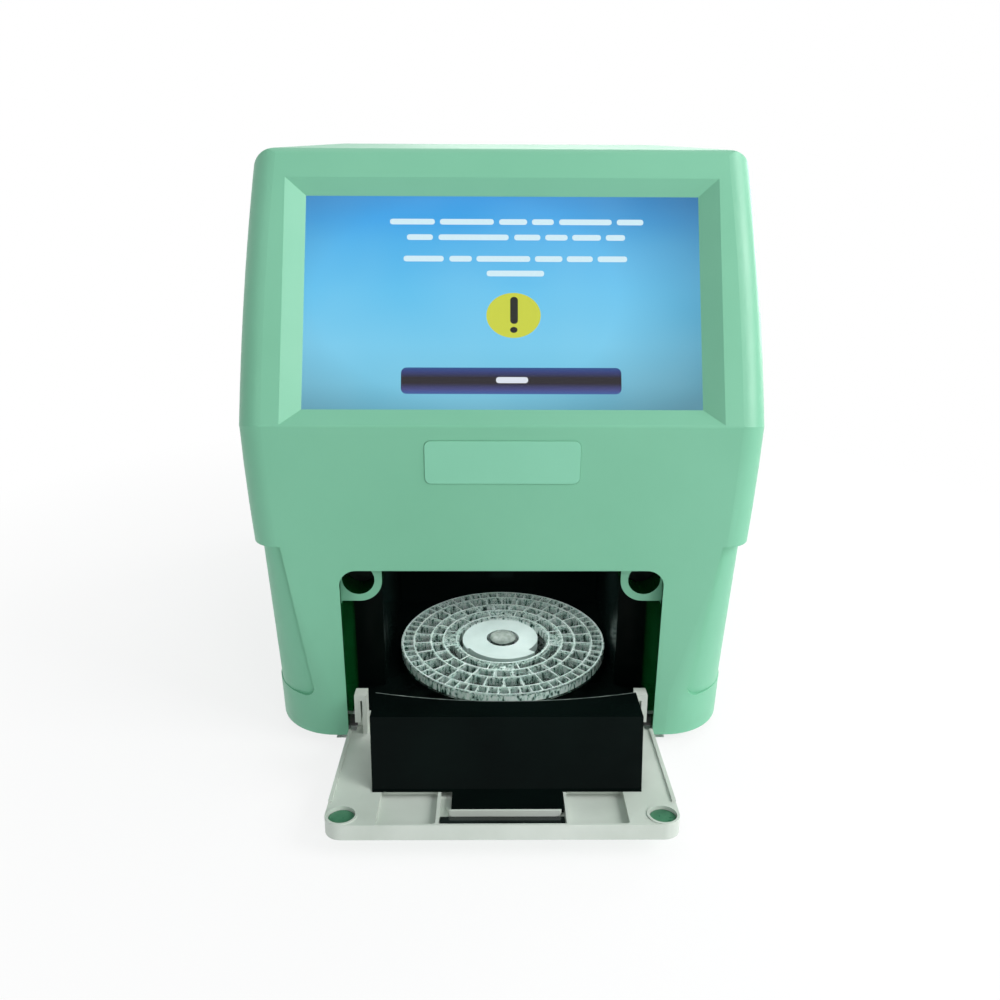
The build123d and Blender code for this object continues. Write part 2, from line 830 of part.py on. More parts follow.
# Each of the core's spirals: its first and last angle, and its first and last radius.
cam_spirals = (
    (-42, 211, core_radius - 4.6, core_radius - 1.0),
    (211, 318, core_radius - 2.4, core_radius - 0.6),
)


def ring_cells(radius, count, radial, across):
    """A ring of rectangular cells, drawn in the plane of the sketch that calls it."""
    with PolarLocations(radius, count):
        Rectangle(radial, across, mode=Mode.SUBTRACT)


with BuildPart() as disc_base:
    with BuildSketch(Plane.XY.offset(disc_low)):
        Circle(disc_radius)
        Circle(hub_radius + hub_gap, mode=Mode.SUBTRACT)
    extrude(amount=core_seat - disc_low)
    with BuildSketch(Plane.XY.offset(core_seat)):
        Circle(disc_radius)
        Circle(core_radius + slip_gap, mode=Mode.SUBTRACT)
        ring_cells(light_radius, rim_wells, *rim_well)
        ring_cells(light_radius - well_pitch, outer_wells, *outer_well)
        ring_cells(light_radius - 2 * well_pitch, inner_wells, *inner_well)
        # Long chambers nearer the middle, which feed the wells.
        with PolarLocations(0, 4, start_angle=45):
            SlotArc(CenterArc((0, 0), chamber_radius, -30, 60), chamber_width, mode=Mode.SUBTRACT)
    extrude(amount=base_disc_top - core_seat)
disc_base.part = disc_base.part.moved(Location((disc_x, disc_y, 0)))
save(disc_base, "disc_base")

with BuildPart() as disc_lid:
    with BuildSketch(Plane.XY.offset(base_disc_top)):
        Circle(disc_radius)
        Circle(core_radius + slip_gap, mode=Mode.SUBTRACT)
        # Two filling ports, and a vent over each long chamber.
        with PolarLocations(chamber_radius, 2, start_angle=-90):
            Circle(port_radius, mode=Mode.SUBTRACT)
        with PolarLocations(chamber_radius, 4, start_angle=65):
            Circle(vent_radius, mode=Mode.SUBTRACT)
    extrude(amount=lid_thickness)
disc_lid.part = disc_lid.part.moved(Location((disc_x, disc_y, 0)))
save(disc_lid, "disc_lid")

with BuildPart() as disc_core:
    # Frosted middle with a cam-shaped edge: two spirals, one long and one short, each ending in a step.
    cam_steps = 12
    with BuildSketch(Plane.XY.offset(core_seat)):
        with BuildLine():
            ends = []
            for first, last, low, high in cam_spirals:
                radii = [low + (high - low) * k / cam_steps for k in range(cam_steps + 1)]
                angles = [radians(first + (last - first) * k / cam_steps) for k in range(cam_steps + 1)]
                spiral = [Vector(r * cos(angle), r * sin(angle)) for r, angle in zip(radii, angles)]
                Spline(*spiral)
                ends.append((spiral[0], spiral[-1]))
            Line(ends[0][1], ends[1][0])
            Line(ends[1][1], ends[0][0])
        make_face()
        Circle(hub_radius + hub_gap, mode=Mode.SUBTRACT)
    extrude(amount=core_top - core_seat)
disc_core.part = disc_core.part.moved(Location((disc_x, disc_y, 0)))
save(disc_core, "disc_core")

# ---------------------------------------------------------------- door

skin_rim = 1.4  # width of the liner's rim round the skin
plate_start = 0.8
arm_end = 8.5  # the liner is full width from here on
catch_u = 69.2
catch_radius = 5.1
catch_rim = 0.85
catch_floor = -2.2
catch_thickness = 0.8
pocket_inner = 24.5
pocket_outer = 46.3
pocket_start = 52.0
pocket_end = 74.3
pocket_floor = -3.0
recess_half = 23.3
recess_start = 50.0
recess_floor = -2.8
ridge_end = 67.3
ridge_length = 5.0
ridge_slant = 70  # degrees, of its ends
strip_start = 67.8
strip_end = pocket_end - slip_gap
strip_thickness = 0.8
tab_low = -shield_thickness
flange_start = 42.0
flange_end = 51.0
flange_xs = (27.0, 48.0)
shield_screw_u = (flange_start + flange_end) / 2
shield_screw_xs = (flange_xs[0] + 4.0, flange_xs[1] - 5.0)
shield_screw_places = [(side * x + shield_shift, shield_screw_u) for side in (-1, 1) for x in shield_screw_xs]
shield_shank = 4.2
hook_start = 4.4
hook_end = 11.2
hook_top = 17.6


# The door's own upward direction, away from the table.
door_up = Axis(door_plane.origin, door_plane.z_dir)


def door_rectangle(level, half, start, end):
    """A rectangle across the door, drawn at a level above the hinge axis."""
    with BuildSketch(door_plane.offset(level)) as outline:
        with Locations((0, (start + end) / 2)):
            Rectangle(2 * half, end - start)
    return outline.sketch


def skin_outline(gap):
    """The skin's outline on the liner's outer face, with a narrower tongue between the hinge arms."""
    margin = skin_rim + gap
    with BuildSketch(door_plane.offset(skin_low)) as outline:
        with Locations((0, (arm_end + door_length) / 2)):
            Rectangle(2 * (door_half - margin), door_length - arm_end - 2 * margin)
        fillet(outline.vertices().group_by(Axis.Y)[-1], door_radius - margin)
        with Locations((0, arm_end + 2 * margin)):
            tongue_length = arm_end + margin - plate_start
            Rectangle(2 * (knuckle_inner - margin), tongue_length, align=(Align.CENTER, Align.MAX))
    return outline.sketch


with BuildPart() as door_panel:
    # The mint outer skin, let into the liner's outer face.
    add(skin_outline(slip_gap))
    extrude(amount=skin_thickness)
    fillet(door_panel.faces().sort_by(door_up)[0].edges(), 0.6)
save(door_panel, "door_panel")

with BuildPart() as door_liner:
    # Main plate, full width past the hinge arms and set back between them.
    with BuildSketch(door_plane.offset(skin_low)) as liner_outline:
        with Locations((0, (arm_end + door_length) / 2)):
            Rectangle(2 * door_half, door_length - arm_end)
        fillet(liner_outline.vertices().group_by(Axis.Y)[-1], door_radius)
        with Locations((0, plate_start)):
            Rectangle(2 * knuckle_inner, door_length / 2, align=(Align.CENTER, Align.MIN))
    extrude(amount=liner_top - skin_low)
    extrude(skin_outline(0), amount=skin_thickness, mode=Mode.SUBTRACT)
    # Hinge arms with their round knuckles.
    for side in (-1, 1):
        with BuildSketch(door_side.offset(side * knuckle_inner)):
            Circle(knuckle_radius)
            with Locations((arm_end / 2 + 0.5, (liner_top - knuckle_radius) / 2)):
                Rectangle(arm_end + 1, liner_top + knuckle_radius)
        extrude(amount=side * (knuckle_outer - knuckle_inner))
    # Raised side rims, and low bosses round the catch holes.
    with BuildSketch(door_plane.offset(liner_top)):
        with Locations(*[(side * (door_half - 0.7), (arm_end + catch_u) / 2 - 4) for side in (-1, 1)]):
            Rectangle(1.4, catch_u - arm_end - 8)
    extrude(amount=-2 * liner_top)
    with BuildSketch(door_plane.offset(liner_top)):
        with Locations((-tube_x, catch_u), (tube_x, catch_u)):
            Circle(catch_radius + catch_rim)
    extrude(amount=-liner_top)
    with BuildSketch(door_plane.offset(catch_floor)):
        with Locations((-tube_x, catch_u), (tube_x, catch_u)):
            Circle(catch_radius)
    extrude(amount=-2 * catch_floor, mode=Mode.SUBTRACT)
    # Two pockets and a middle recess by the free end.
    with BuildSketch(door_plane.offset(pocket_floor)):
        pocket_x = (pocket_inner + pocket_outer) / 2
        with Locations(*[(side * pocket_x, (pocket_start + pocket_end) / 2) for side in (-1, 1)]):
            RectangleRounded(pocket_outer - pocket_inner, pocket_end - pocket_start, 1)
    extrude(amount=-2 * pocket_floor, mode=Mode.SUBTRACT)
    extrude(
        door_rectangle(recess_floor, recess_half, recess_start, pocket_end),
        amount=-2 * recess_floor,
        mode=Mode.SUBTRACT,
    )
    # A ridge across the recess, with slanted ends, carries the shield's tab.
    with BuildSketch(door_plane.offset(recess_floor)):
        with Locations((shield_shift / 2, ridge_end - ridge_length / 2)):
            Trapezoid(2 * shield_tab_half + 2, ridge_length, ridge_slant)
    extrude(amount=tab_low - recess_floor)
    with BuildSketch(door_plane.offset(tab_low)):
        with Locations((shield_shift / 2, ridge_end)):
            upstand = ridge_end - shield_tab_end - slip_gap
            Trapezoid(2 * shield_tab_half, upstand, ridge_slant, align=(Align.CENTER, Align.MAX))
    extrude(amount=-tab_low)
    # Hooks over the hinge arms: an inner wall, a bridge and a shorter outer wall.
    for side in (-1, 1):
        for start_x, end_x, low in (
            (knuckle_inner, knuckle_inner + 1.8, liner_top - 1),
            (knuckle_inner, knuckle_outer, hook_top - 2.5),
            (knuckle_inner + 2.6, knuckle_outer, knuckle_radius + 1),
        ):
            with BuildSketch(door_side.offset(side * start_x)):
                with Locations(((hook_start + hook_end) / 2, (low + hook_top) / 2)):
                    Rectangle(hook_end - hook_start, hook_top - low)
            extrude(amount=side * (end_x - start_x))
    # Bores for the hinge pins, and the shield's screw holes.
    with BuildSketch(door_side):
        Circle(pin_radius + running_gap)
    extrude(amount=door_half, both=True, mode=Mode.SUBTRACT)
    with BuildSketch(door_plane.offset(liner_top - shield_shank)):
        with Locations(*shield_screw_places):
            Circle(screw_radius + running_gap)
    extrude(amount=2 * shield_shank, mode=Mode.SUBTRACT)
save(door_liner, "door_liner")

with BuildPart() as catch_plates:
    with BuildSketch(door_plane.offset(catch_floor)):
        with Locations((-tube_x, catch_u), (tube_x, catch_u)):
            Circle(catch_radius - slip_gap)
    extrude(amount=catch_thickness)
save(catch_plates, "catch_plates")

with BuildPart() as glide_strip:
    with BuildSketch(door_plane.offset(recess_floor)):
        with Locations((0, (strip_start + strip_end) / 2)):
            Rectangle(2 * (recess_half - slip_gap), strip_end - strip_start)
    extrude(amount=strip_thickness)
save(glide_strip, "glide_strip")

shield_plane = Plane(
    door_plane.from_local_coords((shield_shift, 0, 0)), x_dir=door_plane.x_dir, z_dir=door_plane.z_dir
)
shield_side = Plane(shield_plane.origin, x_dir=door_side.x_dir, z_dir=door_side.z_dir)
web_x = 46.0
web_start = 30.0

with BuildPart() as light_shield:
    # One bent sheet: a strip over the disc's front edge, a steep face and a tab.
    with BuildSketch(shield_side):
        with BuildLine():
            Polyline((0, shield_rise), (shield_crease, shield_rise), (shield_foot, 0), (shield_tab_end, 0))
            offset(amount=shield_thickness, side=Side.RIGHT, kind=Kind.INTERSECTION)
        make_face()
    extrude(amount=2 * shield_half, both=True)
    with BuildSketch(shield_plane.offset(skin_low)):
        with BuildLine():
            outline = Polyline(
                (-shield_half, shield_rear),
                (-shield_half, shield_crease),
                (-shield_foot_half, shield_foot + shield_thickness),
                (-shield_tab_half, shield_foot + shield_thickness),
                (-shield_tab_half, shield_tab_end),
                (shield_tab_half, shield_tab_end),
                (shield_tab_half, shield_foot + shield_thickness),
                (shield_foot_half, shield_foot + shield_thickness),
                (shield_half, shield_crease),
                (shield_half, shield_rear),
            )
            ThreePointArc(outline @ 1, (0, shield_rear_middle), outline @ 0)
        make_face()
    extrude(amount=2 * shield_rise, mode=Mode.INTERSECT)
    # Beside the tab the face ends on the liner.
    with BuildSketch(shield_plane.offset(2 * tab_low)):
        with Locations((0, shield_foot)):
            Rectangle(2 * shield_half, 4 * shield_thickness)
            Rectangle(2 * shield_tab_half, 4 * shield_thickness, mode=Mode.SUBTRACT)
    extrude(amount=liner_top - 2 * tab_low, mode=Mode.SUBTRACT)
    # A web under each end, with an inward foot that is screwed to the liner.
    for side in (-1, 1):
        with BuildSketch(shield_side.offset(side * web_x)):
            with BuildLine():
                Polyline(
                    (flange_start, liner_top),
                    (flange_end, liner_top),
                    (shield_crease - shield_thickness / 2, shield_rise - shield_thickness / 2),
                    (web_start, shield_rise - shield_thickness / 2),
                    close=True,
                )
            make_face()
        extrude(amount=side * shield_thickness)
    with BuildSketch(shield_plane.offset(liner_top)):
        flange_middle = (flange_start + flange_end) / 2
        with Locations(*[(side * sum(flange_xs) / 2, flange_middle) for side in (-1, 1)]):
            Rectangle(flange_xs[1] - flange_xs[0], flange_end - flange_start)
        with Locations(*[(x - shield_shift, u) for x, u in shield_screw_places]):
            Circle(screw_radius + running_gap, mode=Mode.SUBTRACT)
    extrude(amount=shield_thickness)
save(light_shield, "light_shield")

shield_screws = screws(
    door_plane.offset(liner_top + shield_thickness),
    shield_screw_places,
    shield_shank + shield_thickness - 0.4,
)
save(shield_screws, "shield_screws")

# ---------------------------------------------------------------- rear panel and its fittings

panel_front = depth - panel_thickness
fan_radius = fan_size / 2 - 1.5
fan_hole_pitch = 25.0
inlet_size = (27.0, 19.6)
inlet_flange = (31.0, 24.0)
socket_size = (22.6, 15.4)
switch_size = (13.0, 19.6)
switch_flange = (16.0, 24.0)
rocker_size = (10.4, 16.4)
ports_size = (46.0, 16.4)
ports_depth = 16.0
slot_pitch = 7.0
side_slots_x = -38.0
side_slot_length = 48.0
fan_hole_places = [
    (fan_x + dx * fan_hole_pitch, fan_height + dz * fan_hole_pitch) for dx in (-1, 1) for dz in (-1, 1)
]
rear_face = Plane((0, depth, 0), x_dir=(-1, 0, 0), z_dir=(0, 1, 0))

with BuildPart() as rear_panel:
    with BuildSketch(facing_front(panel_front)):
        with Locations((0, (panel_low + panel_high) / 2)):
            RectangleRounded(2 * panel_half, panel_high - panel_low, 1)
        with Locations(*panel_screw_places()):
            Circle(screw_radius + running_gap, mode=Mode.SUBTRACT)
        with Locations(*fan_hole_places):
            Circle(screw_radius + running_gap, mode=Mode.SUBTRACT)
        # Cut-outs for the fittings.
        with Locations((inlet_x, socket_height)):
            Rectangle(inlet_size[0] + 2 * slip_gap, inlet_size[1] + 2 * slip_gap, mode=Mode.SUBTRACT)
        with Locations((switch_x, socket_height)):
            Rectangle(switch_size[0] + 2 * slip_gap, switch_size[1] + 2 * slip_gap, mode=Mode.SUBTRACT)
        with Locations((ports_x, socket_height)):
            Rectangle(ports_size[0] + 2 * slip_gap, ports_size[1] + 2 * slip_gap, mode=Mode.SUBTRACT)
        # Grille over the fan: a round field of slots.
        for row in range(-3, 4):
            slot_length = 2 * (fan_radius - 4) * cos(row / 4.6)
            with Locations((fan_x, fan_height + row * slot_pitch)):
                SlotOverall(slot_length, 3.6, mode=Mode.SUBTRACT)
        # Plain air slots beside it.
        with Locations((side_slots_x, fan_height)):
            with GridLocations(1, slot_pitch, 1, 7):
                SlotOverall(side_slot_length, 3.2, mode=Mode.SUBTRACT)
    extrude(amount=-panel_thickness)
save(rear_panel, "rear_panel")

rear_screws = screws(
    rear_face, [(-x, z) for x, z in panel_screw_places()], panel_thickness + rear_wall - 0.6
)
save(rear_screws, "rear_screws")

with BuildPart() as fan_frame:
    with BuildSketch(facing_front(panel_front)):
        with Locations((fan_x, fan_height)):
            RectangleRounded(fan_size, fan_size, 4)
            Circle(fan_radius, mode=Mode.SUBTRACT)
        with Locations(*fan_hole_places):
            Circle(screw_radius + running_gap, mode=Mode.SUBTRACT)
    extrude(amount=fan_depth)
    # Four struts hold the bearing at the inner end.
    with BuildSketch(facing_front(panel_front - fan_depth + 3)):
        with Locations((fan_x, fan_height)):
            Circle(12)
            with PolarLocations(fan_radius / 2 + 5, 4, start_angle=45):
                Rectangle(fan_radius - 7, 3)
            Circle(screw_radius + running_gap, mode=Mode.SUBTRACT)
    extrude(amount=3)
save(fan_frame, "fan_frame")

fan_screws = screws(rear_face, [(-x, z) for x, z in fan_hole_places], panel_thickness + fan_depth - 2)
save(fan_screws, "fan_screws")

with BuildPart() as fan_rotor:
    hub_low = panel_front - fan_depth + 4
    with BuildSketch(facing_front(hub_low + fan_depth - 7)):
        Circle(12)
    extrude(amount=fan_depth - 7)
    with BuildSketch(facing_front(hub_low)):
        Circle(screw_radius)
    extrude(amount=3.4)
    for k in range(blade_count):
        turn = 360 / blade_count * k
        blade_plane = Plane.XZ.rotated((0, turn, 0))
        # Each blade is a pitched plate from the hub to just inside the frame.
        root = Plane(
            blade_plane.from_local_coords((11, 0, -(hub_low + fan_depth / 2 - 3.5))),
            x_dir=(0, 1, 0),
            z_dir=blade_plane.x_dir,
        )
        with BuildSketch(root):
            Rectangle(11, 1.4, rotation=38)
        extrude(amount=fan_radius - slip_gap * 3 - 12)
fan_rotor.part = fan_rotor.part.moved(Location((fan_x, 0, fan_height)))
save(fan_rotor, "fan_rotor")

inlet_flange_thickness = 2.0
inlet_length = 16.0
inlet_socket_depth = 13.5
socket_chamfer = 4.0
inlet_pin = (2.0, 4.0)
inlet_pin_length = 10.0

with BuildPart() as power_inlet:
    # A flange outside the panel, a body through it, and a socket with three flat pins.
    with BuildSketch(facing_front(depth)):
        with Locations((inlet_x, socket_height)):
            RectangleRounded(*inlet_flange, 3)
    extrude(amount=-inlet_flange_thickness)
    with BuildSketch(facing_front(depth)):
        with Locations((inlet_x, socket_height)):
            Rectangle(*inlet_size)
    extrude(amount=inlet_length)
    with BuildSketch(facing_front(depth + inlet_flange_thickness)) as socket:
        with Locations((inlet_x, socket_height)):
            Rectangle(*socket_size)
        chamfer(socket.vertices().group_by(Axis.Y)[-1], socket_chamfer)
    extrude(amount=inlet_flange_thickness + inlet_socket_depth, mode=Mode.SUBTRACT)
    with BuildSketch(facing_front(depth - inlet_socket_depth)):
        for pin_x, pin_z in ((0, 2), (-7, -2), (7, -2)):
            with Locations((inlet_x + pin_x, socket_height + pin_z)):
                Rectangle(*inlet_pin)
    extrude(amount=-inlet_pin_length)
save(power_inlet, "power_inlet")

rocker_axis_y = depth - 2.0
with BuildPart() as switch_frame:
    with BuildSketch(facing_front(depth)):
        with Locations((switch_x, socket_height)):
            RectangleRounded(*switch_flange, 1)
    extrude(amount=-2)
    with BuildSketch(facing_front(depth)):
        with Locations((switch_x, socket_height)):
            Rectangle(*switch_size)
    extrude(amount=14)
    with BuildSketch(facing_front(depth + 2)):
        with Locations((switch_x, socket_height)):
            Rectangle(rocker_size[0] + 2 * slip_gap, rocker_size[1] + 3 * slip_gap)
    extrude(amount=12, mode=Mode.SUBTRACT)
    with BuildSketch(Plane.YZ.offset(switch_x)):
        with Locations((rocker_axis_y, socket_height)):
            Circle(1.2 + running_gap)
    extrude(amount=switch_size[0] / 2 - 0.4, both=True, mode=Mode.SUBTRACT)
save(switch_frame, "switch_frame")

rocker_turn = 14.0
with BuildPart() as switch_rocker:
    # Side view: a shallow V on top, tipped to its off position, round its two pivot stubs.
    with BuildSketch(Plane.YZ.offset(switch_x - rocker_size[0] / 2)):
        with BuildLine():
            half_rocker = rocker_size[1] / 2
            Polyline(
                (-1.6, -half_rocker),
                (3.2, -half_rocker),
                (1.8, 0),
                (3.2, half_rocker),
                (-1.6, half_rocker),
                (-3.6, 0),
                close=True,
            )
        make_face()
    extrude(amount=rocker_size[0])
    with BuildSketch(Plane.YZ.offset(switch_x)):
        Circle(1.2)
    extrude(amount=switch_size[0] / 2 - 0.6, both=True)
switch_rocker.part = switch_rocker.part.rotate(Axis.X, rocker_turn / 2).moved(
    Location((0, rocker_axis_y, socket_height))
)
save(switch_rocker, "switch_rocker")

with BuildPart() as data_ports:
    # Two flat serial sockets and one square network socket in a single block.
    with BuildSketch(facing_front(depth)):
        with Locations((ports_x, socket_height)):
            Rectangle(*ports_size)
    extrude(amount=ports_depth)
    with BuildSketch(facing_front(panel_front)):
        with Locations((ports_x, socket_height)):
            Rectangle(ports_size[0] + 4, ports_size[1] + 4)
    extrude(amount=1.5)
    with BuildSketch(facing_front(depth)):
        with Locations((ports_x - 12, socket_height)):
            Rectangle(11.8, 12)
        with Locations((ports_x + 3, socket_height), (ports_x + 14.5, socket_height)):
            Rectangle(5.4, 12.4)
    extrude(amount=ports_depth - 3, mode=Mode.SUBTRACT)
save(data_ports, "data_ports")

# ---------------------------------------------------------------- electronics

board_thickness = 1.6
board_width = 160.0
board_length = 130.0
board_y = 121.0
post_radius = 3.5
post_inset = 6.0  # from the board's edges
post_places = [
    (side * (board_width / 2 - post_inset), board_y + end * (board_length / 2 - post_inset))
    for side in (-1, 1)
    for end in (-1, 1)
]
processor = (-20.0, board_y - 16.0)
processor_size = 40.0
memory_x = 45.0
memory_ys = (board_y + 29.0, board_y - 26.0)
memory_size = 18.0
socket_strip = (90.0, 8.0)
chip_height = 5.0
fin_count = 8
fin_pitch = 5.0
fin_width = 1.6
fin_rise = 9.0
board_shank = 8.0

with BuildPart() as board_posts:
    with BuildSketch(Plane.XY.offset(base_top)):
        with Locations(*post_places):
            RegularPolygon(post_radius, 6)
            Circle(screw_radius + running_gap, mode=Mode.SUBTRACT)
    extrude(amount=board_height - base_top)
save(board_posts, "board_posts")

with BuildPart() as main_board:
    with BuildSketch(Plane.XY.offset(board_height)):
        with Locations((0, board_y)):
            RectangleRounded(board_width, board_length, 2)
        with Locations(*post_places):
            Circle(screw_radius + running_gap, mode=Mode.SUBTRACT)
    extrude(amount=board_thickness)
    with BuildSketch(Plane.XY.offset(board_height + board_thickness)):
        with Locations(processor):
            Rectangle(processor_size, processor_size)
        with Locations(*[(memory_x, y) for y in memory_ys]):
            Rectangle(memory_size, memory_size)
        with Locations((0, board_y + board_length / 2 - post_inset)):
            Rectangle(*socket_strip)
    extrude(amount=chip_height)
    # Heat sink fins over the processor.
    with BuildSketch(Plane.XY.offset(board_height + board_thickness + chip_height)):
        with Locations(processor):
            with GridLocations(fin_pitch, 1, fin_count, 1):
                Rectangle(fin_width, processor_size)
    extrude(amount=fin_rise)
save(main_board, "main_board")

board_screws = screws(Plane.XY.offset(board_height + board_thickness), post_places, board_shank)
save(board_screws, "board_screws")

cage_thickness = 1.2
cage_hole = (7.0, 10.0)
cage_hole_pitch = (12.0, 16.0)

with BuildPart() as power_supply:
    # A folded sheet cage, open underneath, with its circuit block inside.
    with BuildSketch(Plane.XY.offset(base_top)):
        with Locations((0, supply_y)):
            Rectangle(supply_size[0], supply_size[1])
    extrude(amount=supply_size[2])
    with BuildSketch(Plane.XY.offset(base_top)):
        with Locations((0, supply_y)):
            Rectangle(supply_size[0] - 2 * cage_thickness, supply_size[1] - 2 * cage_thickness)
    extrude(amount=supply_size[2] - cage_thickness, mode=Mode.SUBTRACT)
    with BuildSketch(Plane.XY.offset(base_top + supply_size[2] - wall)):
        with Locations((0, supply_y)):
            with GridLocations(*cage_hole_pitch, 8, 4):
                Rectangle(*cage_hole)
    extrude(amount=2 * wall, mode=Mode.SUBTRACT)
save(power_supply, "power_supply")

# ---------------------------------------------------------------- export

# The origin is moved back under the middle of the whole analyzer, door and rear fittings included.
boxes = [piece.bounding_box() for piece in pieces.values()]
middle_y = (min(box.min.Y for box in boxes) + max(box.max.Y for box in boxes)) / 2
for name, piece in pieces.items():
    centred = piece.moved(Location((0, -middle_y, 0)))
    centred.label = name
    export_step(centred, f"parts/{name}.step")
print(f"The front face is at Y {-middle_y:.4f}")
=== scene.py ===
import math

import bmesh
import bpy
from mathutils import Matrix, Vector


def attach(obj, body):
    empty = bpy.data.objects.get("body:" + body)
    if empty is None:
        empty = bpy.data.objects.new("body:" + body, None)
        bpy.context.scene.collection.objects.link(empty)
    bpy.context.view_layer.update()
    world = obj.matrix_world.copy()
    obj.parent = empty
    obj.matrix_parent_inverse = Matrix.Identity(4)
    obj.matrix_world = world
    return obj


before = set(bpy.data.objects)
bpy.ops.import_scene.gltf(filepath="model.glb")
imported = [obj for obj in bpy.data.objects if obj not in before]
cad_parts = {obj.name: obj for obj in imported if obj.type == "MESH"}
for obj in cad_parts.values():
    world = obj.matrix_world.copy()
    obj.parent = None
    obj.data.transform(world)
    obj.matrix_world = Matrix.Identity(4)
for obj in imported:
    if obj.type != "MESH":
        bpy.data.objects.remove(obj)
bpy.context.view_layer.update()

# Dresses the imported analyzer: materials for every node, the picture on the screen,
# and the small pieces that the solids leave out. Lengths are in metres.

mm = 0.001

# ---------------------------------------------------------------- sizes shared with the part

front_y = -98.7461 * mm  # the front face, from the middle of the whole analyzer
crease_height = 143.6 * mm
screen_slope = math.radians(27.57)
glass_half = 77.1 * mm
glass_low = 7.3 * mm
glass_high = 92.5 * mm
glass_depth = 4.0 * mm
glass_thickness = 1.8 * mm

tunnel_half = 66.2 * mm
tunnel_top = 83.4 * mm
tunnel_depth = 36.0 * mm
tunnel_edge = 0.4 * mm  # of the opening's rim, which keeps the casing's colour

disc_x = 1.5 * mm
disc_y = front_y + 60.4 * mm
disc_floor_top = 13.0 * mm
disc_top = 17.0 * mm

hinge_y = front_y + 6.9 * mm
hinge_height = 7.2 * mm
open_angle = math.radians(5.7)

rear_y = front_y + 264.0 * mm


# ---------------------------------------------------------------- places

slope_up = Vector((0, math.sin(screen_slope), math.cos(screen_slope)))
slope_out = Vector((0, -math.cos(screen_slope), math.sin(screen_slope)))


def on_screen(x, up, out):
    """A point x across the screen, up the slope from the crease and out from the rim plane."""
    return Vector((x, front_y, crease_height)) + up * slope_up + out * slope_out


def on_door(x, along, up):
    """A point on the open door: x across it, along it from the hinge, and up from the hinge axis."""
    free = Vector((0, -math.cos(open_angle), math.sin(open_angle)))
    away = Vector((0, math.sin(open_angle), math.cos(open_angle)))
    return Vector((x, hinge_y, hinge_height)) + along * free + up * away


# ---------------------------------------------------------------- material helpers


def srgb(red, green, blue):
    """A linear colour from 0-255 screen values."""
    linear = [((v / 255 + 0.055) / 1.055) ** 2.4 if v > 10 else v / 3294.6 for v in (red, green, blue)]
    return (*linear, 1.0)


